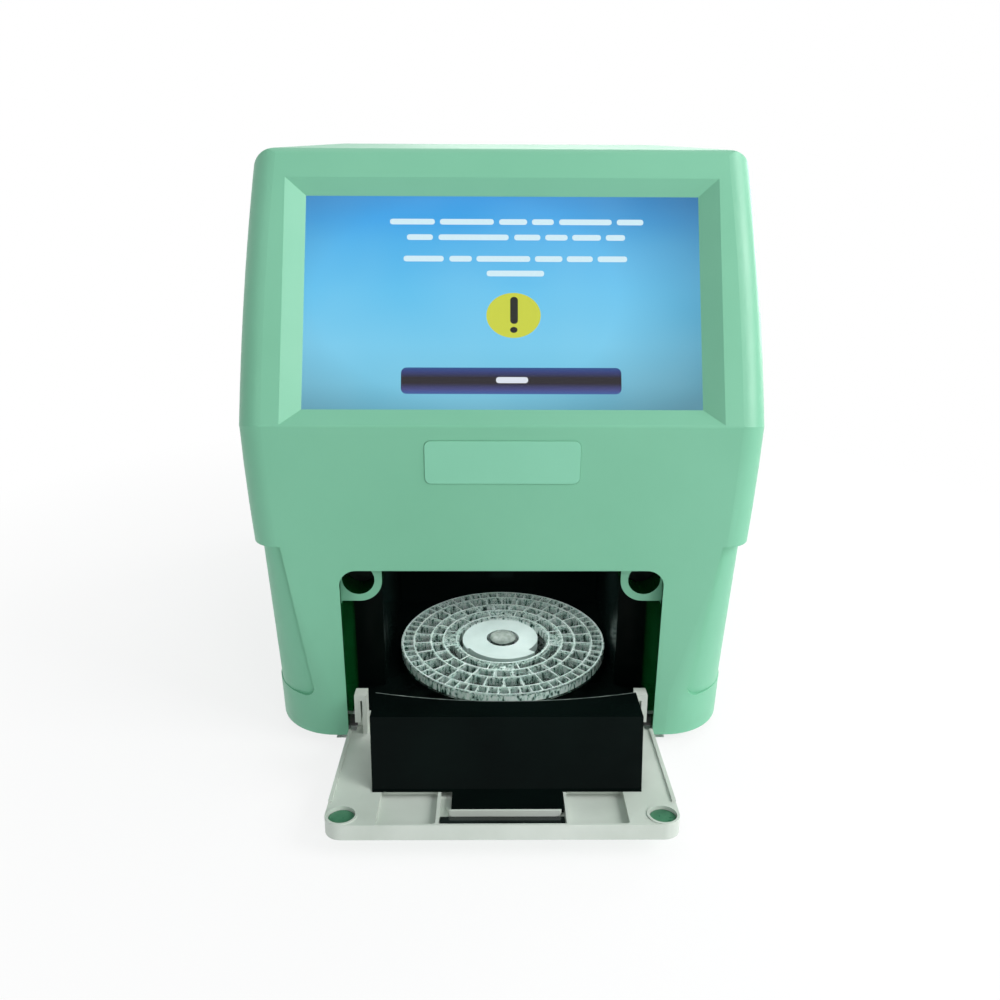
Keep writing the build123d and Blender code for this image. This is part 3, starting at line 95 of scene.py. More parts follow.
class Finish:
    """A new material with its main shader, and the few node chains that all the finishes share."""

    def __init__(self, name):
        self.material = bpy.data.materials.new(name)
        self.material.use_nodes = True
        self.nodes = self.material.node_tree.nodes
        self.links = self.material.node_tree.links
        self.shader = self.nodes["Principled BSDF"]

    def set(self, **values):
        """Sets the shader's own sockets; an underscore stands for a space."""
        for socket, value in values.items():
            self.shader.inputs[socket.replace("_", " ")].default_value = value
        return self

    def noise(self, scale, detail=3.0, stretch=(1, 1, 1)):
        """Noise in the piece's own coordinates, scale in cells per metre."""
        coordinates = self.nodes.new("ShaderNodeTexCoord")
        mapping = self.nodes.new("ShaderNodeMapping")
        mapping.inputs["Scale"].default_value = stretch
        texture = self.nodes.new("ShaderNodeTexNoise")
        texture.inputs["Scale"].default_value = scale
        texture.inputs["Detail"].default_value = detail
        self.links.new(coordinates.outputs["Object"], mapping.inputs["Vector"])
        self.links.new(mapping.outputs["Vector"], texture.inputs["Vector"])
        return texture.outputs["Fac"]

    def ramp(self, factor, stops):
        """A colour ramp over factor, given as (position, colour) pairs."""
        ramp = self.nodes.new("ShaderNodeValToRGB")
        elements = ramp.color_ramp.elements
        while len(elements) < len(stops):
            elements.new(0.5)
        for element, (position, colour) in zip(elements, stops):
            element.position = position
            element.color = colour
        self.links.new(factor, ramp.inputs["Fac"])
        return ramp.outputs["Color"]

    def scaled(self, value, start, end, first=0.0, last=1.0):
        """A number that runs from first to last while value runs from start to end."""
        scale = self.nodes.new("ShaderNodeMapRange")
        scale.inputs["From Min"].default_value = start
        scale.inputs["From Max"].default_value = end
        scale.inputs["To Min"].default_value = first
        scale.inputs["To Max"].default_value = last
        self.links.new(value, scale.inputs["Value"])
        return scale.outputs["Result"]

    def spread(self, factor, low, high):
        """A number that runs from low to high over the middle of factor."""
        return self.scaled(factor, 0.3, 0.7, low, high)

    def up_the_screen(self, low, high):
        """A number that runs from 0 to 1 between two levels up the screen's slope."""
        coordinates = self.nodes.new("ShaderNodeTexCoord")
        upward = self.nodes.new("ShaderNodeVectorMath")
        upward.operation = "DOT_PRODUCT"
        upward.inputs[1].default_value = slope_up
        self.links.new(coordinates.outputs["Object"], upward.inputs[0])
        start = on_screen(0, low, 0).dot(slope_up)
        return self.scaled(upward.outputs["Value"], start, start + high - low)

    def nearness(self, middle, reach):
        """A number that falls from 1 at a point to 0 at its reach along each axis."""
        coordinates = self.nodes.new("ShaderNodeTexCoord")
        placed = self.nodes.new("ShaderNodeMapping")
        placed.vector_type = "TEXTURE"
        placed.inputs["Location"].default_value = middle
        placed.inputs["Scale"].default_value = reach
        ball = self.nodes.new("ShaderNodeTexGradient")
        ball.gradient_type = "SPHERICAL"
        self.links.new(coordinates.outputs["Object"], placed.inputs["Vector"])
        self.links.new(placed.outputs["Vector"], ball.inputs["Vector"])
        return ball.outputs["Fac"]

    def maths(self, operation, first, second):
        """One operation on two values, either of which may be a plain number."""
        node = self.nodes.new("ShaderNodeMath")
        node.operation = operation
        for socket, value in zip(node.inputs, (first, second)):
            if isinstance(value, (int, float)):
                socket.default_value = value
            else:
                self.links.new(value, socket)
        return node.outputs["Value"]

    def split(self, output):
        """The three parts of the place or the normal, in the piece's own coordinates."""
        coordinates = self.nodes.new("ShaderNodeTexCoord")
        parts = self.nodes.new("ShaderNodeSeparateXYZ")
        self.links.new(coordinates.outputs[output], parts.inputs["Vector"])
        return parts.outputs

    def inside(self, low, high):
        """1 inside the box between two corners, in the piece's own coordinates, and 0 outside it."""
        place = self.split("Object")
        share = 1.0
        for part, least, most in zip(place, low, high):
            share = self.maths("MULTIPLY", share, self.maths("GREATER_THAN", part, least))
            share = self.maths("MULTIPLY", share, self.maths("LESS_THAN", part, most))
        return share

    def mixed(self, kind, factor, first, second):
        """Two colours ("RGBA") or two numbers ("FLOAT"), mixed by factor."""
        mix = self.nodes.new("ShaderNodeMix")
        mix.data_type = kind
        same_kind = [socket for socket in mix.inputs if socket.enabled]
        for socket, value in zip(same_kind, (factor, first, second)):
            self.links.new(value, socket)
        return next(socket for socket in mix.outputs if socket.enabled)

    def colour_between(self, factor, first, second):
        """Colour that drifts between two tones over factor."""
        self.links.new(self.ramp(factor, [(0.35, first), (0.65, second)]), self.shader.inputs["Base Color"])
        return self

    def roughness_between(self, factor, low, high):
        """Roughness that drifts between two values over factor."""
        self.links.new(self.spread(factor, low, high), self.shader.inputs["Roughness"])
        return self

    def glowing(self, colour):
        """Gives the picture's own light in a colour that varies over the surface, with no gloss."""
        self.links.new(colour, self.shader.inputs["Emission Color"])
        self.set(Base_Color=(0.0, 0.0, 0.0, 1.0), Roughness=0.5)
        return self.set(Specular_IOR_Level=0.0, Emission_Strength=1.0)

    def bump(self, height, strength, distance):
        """Fine relief: its depth is distance, in metres."""
        bump = self.nodes.new("ShaderNodeBump")
        bump.inputs["Strength"].default_value = strength
        bump.inputs["Distance"].default_value = distance
        self.links.new(height, bump.inputs["Height"])
        self.links.new(bump.outputs["Normal"], self.shader.inputs["Normal"])
        return self


# ---------------------------------------------------------------- materials


def casing_mint(name, first, second, grain):
    """Moulded mint plastic: a fine satin grain, with faint drifts of tone and sheen."""
    finish = Finish(name)
    finish.colour_between(finish.noise(9, 4), first, second)
    finish.roughness_between(finish.noise(38, 5), 0.36, 0.46)
    finish.bump(finish.noise(2600, 2), grain, 0.00005)
    return finish.set(Specular_IOR_Level=0.42).material


def housing_mint(first, second):
    """The casing's mint, with painted shade in the tunnel behind the opening: its inner faces are coloured a
    deep glossy green.
    """
    finish = Finish("mint_casing")
    tunnel = finish.inside(
        (-tunnel_half, front_y + tunnel_edge, -tunnel_edge),
        (tunnel_half, front_y + tunnel_depth, tunnel_top),
    )
    # The faces in it that look forwards keep the casing's colour.
    sideways = finish.maths("GREATER_THAN", finish.split("Normal")["Y"], -0.7)
    # painted marks where the shade is painted: the tunnel's faces that do not look forwards.
    painted = finish.maths("MULTIPLY", tunnel, sideways)
    outside = finish.ramp(finish.noise(9, 4), [(0.35, first), (0.65, second)])
    # The deep green is painted shade of the tunnel, not the moulding's own colour.
    inside = finish.ramp(finish.noise(30, 4), [(0.35, srgb(4, 52, 18)), (0.65, srgb(8, 72, 30))])
    finish.links.new(finish.mixed("RGBA", painted, outside, inside), finish.shader.inputs["Base Color"])
    satin = finish.spread(finish.noise(38, 5), 0.36, 0.46)
    glossy = finish.spread(finish.noise(50, 4), 0.12, 0.2)
    finish.links.new(finish.mixed("FLOAT", painted, satin, glossy), finish.shader.inputs["Roughness"])
    finish.bump(finish.noise(2600, 2), 0.22, 0.00005)
    shine = finish.maths("SUBTRACT", 0.45, finish.maths("MULTIPLY", painted, 0.37))
    finish.links.new(shine, finish.shader.inputs["Specular IOR Level"])
    return finish.material


def liner_white():
    """Off-white moulding, rubbed a little greyer in patches, with a faint green tint that is painted light
    bounced from the mint casing.
    """
    finish = Finish("liner_white")
    finish.colour_between(finish.noise(24, 6), srgb(196, 205, 195), srgb(214, 221, 213))
    finish.roughness_between(finish.noise(60, 5), 0.3, 0.45)
    finish.bump(finish.noise(2200, 2), 0.25, 0.00005)
    return finish.material


def gloss_black():
    """Black acrylic-like plastic with faint wiping marks, and a faint green tint that is a painted reflection
    of the mint casing.
    """
    finish = Finish("gloss_black")
    finish.colour_between(finish.noise(30, 4), srgb(6, 12, 11), srgb(9, 18, 16))
    finish.roughness_between(finish.noise(90, 6, (1, 6, 1)), 0.13, 0.24)
    finish.bump(finish.noise(900, 3), 0.06, 0.00004)
    return finish.set(Specular_IOR_Level=0.03).material


def polished_black():
    """The glide strip's polished black face, in which the room shows; its black is lifted to a greyish green
    as a painted reflection.
    """
    finish = Finish("polished_black")
    finish.colour_between(finish.noise(60, 4), srgb(20, 28, 26), srgb(30, 40, 38))
    finish.roughness_between(finish.noise(120, 5, (1, 8, 1)), 0.06, 0.16)
    finish.bump(finish.noise(260, 3), 0.12, 0.00006)
    return finish.set(Specular_IOR_Level=0.6).material


def moulded_black():
    """Matt black fittings with a fine grain."""
    finish = Finish("moulded_black")
    finish.colour_between(finish.noise(40, 4), srgb(24, 25, 26), srgb(34, 35, 36))
    finish.roughness_between(finish.noise(80, 5), 0.42, 0.6)
    finish.bump(finish.noise(3000, 2), 0.35, 0.00006)
    return finish.material


def catch_green():
    """Green steel plates at the bottom of the catch holes, coloured darker than the casing's mint as painted
    shade of the holes.
    """
    finish = Finish("catch_green")
    finish.colour_between(finish.noise(160, 4), srgb(58, 112, 84), srgb(78, 134, 104))
    finish.roughness_between(finish.noise(300, 4), 0.25, 0.45)
    finish.bump(finish.noise(1500, 3), 0.15, 0.00004)
    return finish.set(Metallic=0.3).material


def cover_glass():
    """Clear cover glass with the faintest smears."""
    finish = Finish("cover_glass")
    finish.roughness_between(finish.noise(22, 6), 0.0, 0.035)
    return finish.set(
        Base_Color=srgb(250, 253, 253),
        Transmission_Weight=1.0,
        IOR=1.46,
    ).material


def display_back():
    """Tinned steel tray of the display."""
    finish = Finish("display_back")
    finish.colour_between(finish.noise(120, 5), srgb(150, 152, 150), srgb(178, 180, 178))
    finish.roughness_between(finish.noise(400, 4, (1, 8, 8)), 0.28, 0.45)
    finish.bump(finish.noise(500, 3, (1, 12, 12)), 0.1, 0.00004)
    return finish.set(Metallic=0.9).material


def clear_lid():
    """Clear film over the disc's wells."""
    finish = Finish("clear_lid")
    finish.colour_between(finish.noise(90, 4), srgb(226, 246, 239), srgb(240, 251, 247))
    finish.roughness_between(finish.noise(140, 5), 0.02, 0.1)
    finish.bump(finish.noise(700, 3), 0.1, 0.00006)
    return finish.set(Transmission_Weight=0.97, IOR=1.45, Alpha=0.4).material


def clear_disc():
    """Clear moulded disc: its walls carry painted glints, bright and dark specks that stand in for light
    refracted in the clear plastic, and its floor shows what lies below.
    """
    finish = Finish("clear_disc")
    # Painted glints: bright and dark specks stand in for refracted light, not for the plastic's colour.
    painted_glints = finish.ramp(
        finish.noise(700, 2, (1, 1, 0.35)),
        [
            (0.37, srgb(44, 72, 64)),
            (0.44, srgb(168, 206, 194)),
            (0.5, srgb(222, 246, 238)),
            (0.6, srgb(238, 253, 248)),
        ],
    )
    finish.links.new(painted_glints, finish.shader.inputs["Base Color"])
    just_above = 0.03 * mm
    walls = finish.inside((-1, -1, disc_floor_top + just_above), (1, 1, 1))
    clearness = finish.maths("SUBTRACT", 0.96, finish.maths("MULTIPLY", walls, 0.86))
    finish.links.new(clearness, finish.shader.inputs["Transmission Weight"])
    finish.roughness_between(finish.noise(140, 5), 0.04, 0.16)
    finish.bump(finish.noise(900, 3), 0.2, 0.0001)
    return finish.set(IOR=1.5).material


def frosted_core():
    """Frosted middle of the disc."""
    finish = Finish("frosted_core")
    finish.colour_between(finish.noise(60, 5), srgb(172, 192, 187), srgb(188, 206, 201))
    finish.roughness_between(finish.noise(200, 4), 0.4, 0.6)
    finish.bump(finish.noise(1800, 2), 0.3, 0.00006)
    return finish.material


def plain_metal(name, dark, light, low, high, stretch):
    """Bare or plated metal, with its brushing along the short axis of stretch."""
    finish = Finish(name)
    finish.colour_between(finish.noise(180, 5, stretch), dark, light)
    finish.roughness_between(finish.noise(420, 4, stretch), low, high)
    finish.bump(finish.noise(900, 3, stretch), 0.12, 0.00004)
    return finish.set(Metallic=1.0).material


def black_rubber():
    """Rubber with a dusty bloom."""
    finish = Finish("black_rubber")
    finish.colour_between(finish.noise(220, 5), srgb(30, 30, 30), srgb(48, 48, 47))
    finish.roughness_between(finish.noise(300, 4), 0.7, 0.9)
    finish.bump(finish.noise(2400, 3), 0.5, 0.00008)
    return finish.material


def solder_mask():
    """Green circuit board with its tracks showing as faint relief."""
    finish = Finish("solder_mask")
    finish.colour_between(finish.noise(300, 2, (1, 0.2, 1)), srgb(14, 74, 40), srgb(26, 98, 54))
    finish.roughness_between(finish.noise(200, 4), 0.25, 0.4)
    finish.bump(finish.noise(600, 2, (1, 0.1, 1)), 0.25, 0.00005)
    return finish.material


mint_dark_tone = srgb(118, 187, 153)
mint_light_tone = srgb(125, 193, 160)
mint = housing_mint(mint_dark_tone, mint_light_tone)
mint_skin = casing_mint("mint_skin", mint_dark_tone, mint_light_tone, 0.22)
mint_grained = casing_mint("mint_grained", mint_dark_tone, mint_light_tone, 0.6)
mint_plate = casing_mint("mint_plate", srgb(130, 200, 168), srgb(137, 206, 175), 0.12)
white = liner_white()
black = gloss_black()
dark = moulded_black()
steel = plain_metal("brushed_steel", srgb(165, 167, 170), srgb(190, 192, 195), 0.25, 0.42, (1, 14, 1))
zinc = plain_metal("zinc_plate", srgb(178, 178, 172), srgb(205, 204, 198), 0.22, 0.38, (1, 1, 1))
aluminium = plain_metal("machined_aluminium", srgb(196, 198, 200), srgb(216, 218, 220), 0.2, 0.34, (1, 10, 1))
# The catch magnets' near-black is painted shade of the deep bores they sit in.
nickel = plain_metal("nickel_painted_shade", srgb(24, 30, 28), srgb(36, 44, 40), 0.3, 0.45, (1, 1, 1))

node_finishes = {
    mint: ("housing",),
    mint_skin: ("door_panel",),
    mint_grained: ("rear_panel",),
    mint_plate: ("name_plate",),
    white: ("door_liner",),
    black: ("disc_chamber", "light_shield", "photometer"),
    polished_black(): ("glide_strip",),
    dark: (
        "spindle_motor", "hinge_pins", "fan_frame", "power_inlet",
        "switch_frame", "data_ports", "turntable", "fan_rotor", "switch_rocker",
    ),
    catch_green(): ("catch_plates",),
    cover_glass(): ("touch_glass",),
    display_back(): ("lcd_module",),
    clear_disc(): ("disc_base",),
    clear_lid(): ("disc_lid",),
    frosted_core(): ("disc_core",),
    steel: ("base_plate", "screen_clamps", "power_supply"),
    zinc: (
        "base_screws", "rear_screws", "clamp_screws", "board_posts", "board_screws",
        "fan_screws", "shield_screws",
    ),
    aluminium: ("heater_plate", "lamp_module", "spindle_hub"),
    nickel: ("catch_magnets",),
    black_rubber(): ("rubber_feet",),
    solder_mask(): ("main_board",),
}

for material, names in node_finishes.items():
    for name in names:
        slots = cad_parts[name].material_slots
        if len(slots) == 0:
            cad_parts[name].data.materials.append(material)
        for slot in slots:
            slot.material = material

# ---------------------------------------------------------------- mesh helpers


def add_piece(name, mesh_builder, material, body):
    """A new piece from a bmesh, with its material, riding on a body."""
    mesh = bpy.data.meshes.new(name)
    mesh_builder.to_mesh(mesh)
    mesh_builder.free()
    piece = bpy.data.objects.new(name, mesh)
    bpy.context.scene.collection.objects.link(piece)
    piece.data.materials.append(material)
    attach(piece, body)
    return piece


def rounded_rectangle(centre_x, centre_y, width, height, radius, steps=6):
    """Corner points of a rounded rectangle, anticlockwise."""
    points = []
    for quarter in range(4):
        middle = math.radians(45 + 90 * quarter)
        corner_x = centre_x + math.copysign(width / 2 - radius, math.cos(middle))
        corner_y = centre_y + math.copysign(height / 2 - radius, math.sin(middle))
        for step in range(steps + 1):
            angle = math.radians(90 * quarter + 90 * step / steps)
            points.append((corner_x + radius * math.cos(angle), corner_y + radius * math.sin(angle)))
    return points


def ellipse(centre_x, centre_y, half_width, half_height, steps=64):
    """Points round an ellipse, anticlockwise."""
    angles = [2 * math.pi * step / steps for step in range(steps)]
    return [(centre_x + half_width * math.cos(a), centre_y + half_height * math.sin(a)) for a in angles]


def add_slab(mesh_builder, outline, place, low, high):
    """A closed slab: its outline in place's first two coordinates, from low to high in the third."""
    lower = [mesh_builder.verts.new(place(x, y, low)) for x, y in outline]
    upper = [mesh_builder.verts.new(place(x, y, high)) for x, y in outline]
    mesh_builder.faces.new(list(reversed(lower)))
    mesh_builder.faces.new(upper)
    for index in range(len(outline)):
        after = (index + 1) % len(outline)
        mesh_builder.faces.new((lower[index], lower[after], upper[after], upper[index]))


def join_loops(mesh_builder, loops):
    """Bands of faces from each loop of points to the next one."""
    for below, above in zip(loops, loops[1:]):
        for step in range(len(below)):
            after = (step + 1) % len(below)
            mesh_builder.faces.new((below[step], below[after], above[after], above[step]))


# ---------------------------------------------------------------- picture on the screen

# The picture lies on the back of the cover glass, in thin layers.
picture_depth = glass_depth + glass_thickness - 0.1 * mm
layer = 0.02 * mm
picture_margin = 1.2 * mm
picture_middle = (glass_low + glass_high) / 2
sign_x = 4.3 * mm
sign_up = 44.9 * mm
button_low = 13.7 * mm
button_high = 24.1 * mm
button_left = -39.2 * mm
button_right = 46.0 * mm


def lit(name, colour):
    """A part of the picture in one colour, faintly speckled."""
    finish = Finish(name)
    faint = tuple(0.97 * part for part in colour[:3]) + (1.0,)
    return finish.glowing(finish.ramp(finish.noise(1800, 1), [(0.4, faint), (0.6, colour)])).material


def sky_picture():
    """Blue sky of the screen: deeper at the top, pale at the middle, dull in the corners."""
    finish = Finish("screen_sky")
    sky = finish.ramp(
        finish.up_the_screen(glass_low, glass_high),
        [
            (0.0, srgb(98, 176, 202)),
            (0.12, srgb(112, 194, 224)),
            (0.3, srgb(112, 200, 236)),
            (0.55, srgb(92, 192, 238)),
            (0.78, srgb(62, 174, 234)),
            (0.9, srgb(20, 156, 230)),
            (1.0, srgb(4, 146, 224)),
        ],
    )
    # The colour is duller away from the picture's middle.
    bright_middle = on_screen(-14 * mm, picture_middle + 2 * mm, -picture_depth)
    near_middle = finish.nearness(bright_middle, (108 * mm, 72 * mm, 72 * mm))
    dull = finish.ramp(near_middle, [(0.0, srgb(178, 190, 190)), (0.45, srgb(255, 255, 255))])
    dulled = finish.nodes.new("ShaderNodeMix")
    dulled.data_type = "RGBA"
    dulled.blend_type = "MULTIPLY"
    dulled.inputs["Factor"].default_value = 1.0
    finish.links.new(sky, dulled.inputs["A"])
    finish.links.new(dull, dulled.inputs["B"])
    # Soft clouds.
    clouds = finish.nodes.new("ShaderNodeMix")
    clouds.data_type = "RGBA"
    clouds.blend_type = "SCREEN"
    finish.links.new(finish.spread(finish.noise(16, 2), 0.0, 0.12), clouds.inputs["Factor"])
    finish.links.new(dulled.outputs["Result"], clouds.inputs["A"])
    clouds.inputs["B"].default_value = srgb(190, 235, 255)
    return finish.glowing(clouds.outputs["Result"]).material


def button_face():
    """Navy button with a darker band along its middle."""
    finish = Finish("screen_button_face")
    bands = finish.ramp(
        finish.up_the_screen(button_low, button_high),
        [
            (0.0, srgb(58, 92, 160)),
            (0.16, srgb(62, 66, 128)),
            (0.4, srgb(24, 18, 30)),
            (0.62, srgb(26, 20, 30)),
            (0.85, srgb(38, 52, 116)),
            (1.0, srgb(30, 78, 140)),
        ],
    )
    return finish.glowing(bands).material


def add_picture_layer(name, outlines, level, material):
    """Flat shapes of the picture, level layers above its sky."""
    builder = bmesh.new()
    low = level * layer - picture_depth
    for outline in outlines:
        add_slab(builder, outline, on_screen, low, low + 0.7 * layer)
    add_piece(name, builder, material, "casing")


picture_width = 2 * (glass_half + picture_margin)
picture_height = glass_high - glass_low + 2 * picture_margin
picture_outline = rounded_rectangle(0, picture_middle, picture_width, picture_height, 1 * mm)
add_picture_layer("screen_picture", [picture_outline], 0, sky_picture())

# The message has plain bars in place of words: for each line's level, the bars' left and right ends in mm.
text_height = 2.3 * mm
text_lines = {
    82.6 * mm: ((-44.2, -26.6), (-24.6, -3.4), (-1.3, 9.7), (11.6, 20.2), (22.3, 43.0), (45.0, 55.5)),
    76.3 * mm: ((-37.5, -27.3), (-25.1, 2.4), (4.6, 14.9), (16.8, 25.6), (27.4, 38.7), (40.6, 48.2)),
    67.6 * mm: ((-38.7, -23.0), (-20.8, -12.0), (-10.2, 10.9), (12.7, 23.5), (25.2, 35.4), (37.3, 48.9)),
    61.7 * mm: ((-6.2, 16.3),),
}
text_bars = [
    rounded_rectangle((left + right) / 2 * mm, level, (right - left) * mm, text_height, text_height / 2.2)
    for level, bars in text_lines.items()
    for left, right in bars
]
add_picture_layer("screen_message", text_bars, 1, lit("screen_white", srgb(214, 240, 250)))

sign_outline = ellipse(sign_x, sign_up, 10.6 * mm, 9.0 * mm)
sign_stroke = rounded_rectangle(sign_x + 0.2 * mm, sign_up + 2.0 * mm, 3.0 * mm, 10.8 * mm, 1.4 * mm)
sign_dot = ellipse(sign_x + 0.1 * mm, sign_up - 5.8 * mm, 1.45 * mm, 1.2 * mm, 24)
add_picture_layer("screen_sign", [sign_outline], 1, lit("screen_yellow", srgb(205, 212, 62)))
add_picture_layer("screen_sign_mark", [sign_stroke, sign_dot], 2, lit("screen_black", srgb(20, 22, 14)))

button_middle = ((button_left + button_right) / 2, (button_low + button_high) / 2)
button_size = (button_right - button_left, button_high - button_low)
button_outline = rounded_rectangle(*button_middle, *button_size, 2.2 * mm)
button_bar = rounded_rectangle(3.7 * mm, 19.2 * mm, 12.4 * mm, 2.4 * mm, 1.1 * mm)
add_picture_layer("screen_button", [button_outline], 1, button_face())
add_picture_layer("screen_button_bar", [button_bar], 2, lit("screen_pale", srgb(225, 230, 240)))

# ---------------------------------------------------------------- painted highlight on the light shield's cut edge

shield_rise = 24.0 * mm
shield_half = 53.5 * mm
shield_shift = 1.9 * mm
shield_rear = 20.5 * mm
shield_rear_middle = 27.9 * mm
edge_width = 0.45 * mm
edge_height = 0.05 * mm


def rear_edge(x):
    """How far along the door the shield's rear edge lies at x from its middle. The edge is an arc."""
    rise = shield_rear_middle - shield_rear
    radius = (shield_half**2 + rise**2) / (2 * rise)
    return shield_rear_middle - radius + math.sqrt(radius**2 - x**2)


def on_shield_top(x, along, up):
    """A point on the strip at the top of the shield."""
    return on_door(shield_shift + x, along, shield_rise + up)


def add_shield_edge():
    """A painted highlight along the rear of the shield's strip: a thin pale strip where the cut edge catches
    the light.
    """
    builder = bmesh.new()
    steps = 40
    xs = [shield_half * (2 * k / steps - 1) for k in range(steps + 1)]
    outer = [(x, rear_edge(x)) for x in xs]
    inner = [(x, rear_edge(x) + edge_width) for x in reversed(xs)]
    add_slab(builder, outer + inner, on_shield_top, 0.0, edge_height)
    # The pale grey is a painted highlight where the cut edge catches the light.
    finish = Finish("painted_edge_highlight")
    finish.colour_between(finish.noise(250, 4), srgb(84, 96, 92), srgb(128, 140, 134))
    finish.roughness_between(finish.noise(300, 4), 0.25, 0.4)
    finish.bump(finish.noise(1200, 2), 0.2, 0.00004)
    add_piece("shield_edge", builder, finish.material, "door")


add_shield_edge()

# ---------------------------------------------------------------- ribs of the reagent disc, with painted highlight

rib_width = 0.5 * mm
rib_height = 0.2 * mm
# Rings of ribs between the rings of wells, and how many ribs run across from each to the next one in.
rib_rings = ((48.7 * mm, 60), (43.2 * mm, 30), (35.0 * mm, 24), (29.0 * mm, 12), (22.6 * mm, 0))


def on_disc(x, y, up):
    """A point on the disc, from its axis and from the top of its lid."""
    return Vector((disc_x + x, disc_y + y, disc_top + up))


def turned(outline, angle):
    """An outline turned about the origin."""
    cos = math.cos(angle)
    sin = math.sin(angle)
    return [(x * cos - y * sin, x * sin + y * cos) for x, y in outline]


def add_ring(mesh_builder, place, inner, outer, low, high, steps=96):
    """A flat ring about the origin of place's first two coordinates."""
    loops = []
    for radius, level in ((inner, low), (outer, low), (outer, high), (inner, high)):
        circle = ellipse(0, 0, radius, radius, steps)
        loops.append([mesh_builder.verts.new(place(x, y, level)) for x, y in circle])
    join_loops(mesh_builder, loops + loops[:1])


def painted_highlight_ribs():
    """Clear ribs, coloured bright as a painted highlight of the light refracted at the wells' edges."""
    finish = Finish("painted_highlight_ribs")
    finish.colour_between(finish.noise(500, 3), srgb(206, 234, 225), srgb(238, 252, 247))
    finish.roughness_between(finish.noise(300, 4), 0.1, 0.25)
    finish.bump(finish.noise(1200, 2), 0.2, 0.00005)
    return finish.set(Transmission_Weight=0.1, IOR=1.5).material


def add_disc_ribs():
    """The rings of ribs on the lid, with the bars that run from each ring to the next one in."""
    builder = bmesh.new()
    half = rib_width / 2
    for (radius, count), following in zip(rib_rings, rib_rings[1:] + rib_rings[-1:]):
        add_ring(builder, on_disc, radius - half, radius + half, 0, rib_height)
        inner = following[0] + half
        outer = radius - half
        bar = [(inner, -half), (outer, -half), (outer, half), (inner, half)]
        for k in range(count):
            add_slab(builder, turned(bar, 2 * math.pi * (k + 0.5) / count), on_disc, 0, rib_height)
    # The ribs are moulded ridges; their bright colour is painted highlight.
    add_piece("disc_ribs", builder, painted_highlight_ribs(), "disc")


add_disc_ribs()

# ---------------------------------------------------------------- dome over the spindle hub

dome_radius = 6.4 * mm
dome_rise = 2.2 * mm
dome_low = disc_top + 0.4 * mm


def satin_hub():
    """Satin grey moulding of the hub."""
    finish = Finish("satin_hub")
    finish.colour_between(finish.noise(240, 4), srgb(128, 144, 136), srgb(176, 190, 182))
    finish.roughness_between(finish.noise(200, 4), 0.12, 0.25)
    finish.bump(finish.noise(900, 3), 0.15, 0.00005)
    return finish.set(Metallic=0.25).material


def add_hub_dome():
    """A low dome with a small flat top, as rings from its rim upwards."""
    builder = bmesh.new()
    rings = 8
    loops = []
    for ring in range(rings + 1):
        turn = math.pi / 2 * ring / rings
        radius = dome_radius * math.cos(0.96 * turn)
        level = dome_low + dome_rise * math.sin(turn)
        circle = ellipse(disc_x, disc_y, radius, radius, 48)
        loops.append([builder.verts.new((x, y, level)) for x, y in circle])
    join_loops(builder, loops)
    builder.faces.new(loops[-1])
    builder.faces.new(list(reversed(loops[0])))
    for face in builder.faces:
        face.smooth = len(face.verts) == 4
    add_piece("hub_dome", builder, satin_hub(), "spindle")


add_hub_dome()

# ---------------------------------------------------------------- floor, light and camera


def studio_white(material_or_world):
    """Factor that is 1 where the camera, a reflection or a transmission looks at the background."""
    nodes = material_or_world.node_tree.nodes
    links = material_or_world.node_tree.links
    path = nodes.new("ShaderNodeLightPath")
    share = path.outputs["Is Camera Ray"]
    for ray in ("Is Glossy Ray", "Is Transmission Ray"):
        either = nodes.new("ShaderNodeMath")
        either.operation = "MAXIMUM"
        links.new(share, either.inputs[0])
        links.new(path.outputs[ray], either.inputs[1])
        share = either.outputs["Value"]
    return share


def add_world(level):
    """White background to the eye, and a softer even light on the object."""
    world = bpy.data.worlds.new("studio")
    bpy.context.scene.world = world
    world.use_nodes = True
    nodes = world.node_tree.nodes
    links = world.node_tree.links
    seen = nodes.new("ShaderNodeBackground")
    seen.inputs["Color"].default_value = (1.0, 1.0, 1.0, 1.0)
    lighting = nodes["Background"]
    lighting.inputs["Color"].default_value = (0.94, 0.97, 1.0, 1.0)
    lighting.inputs["Strength"].default_value = level
    mix = nodes.new("ShaderNodeMixShader")
    links.new(studio_white(world), mix.inputs["Fac"])
    links.new(lighting.outputs["Background"], mix.inputs[1])
    links.new(seen.outputs["Background"], mix.inputs[2])
    links.new(mix.outputs["Shader"], nodes["World Output"].inputs["Surface"])


floor_half = 4.0
shadow_reach = 0.42
under_half = 93 * mm
under_front = 4 * mm
under_rear = 5 * mm
corner_width = 21 * mm
corner_room = 26 * mm


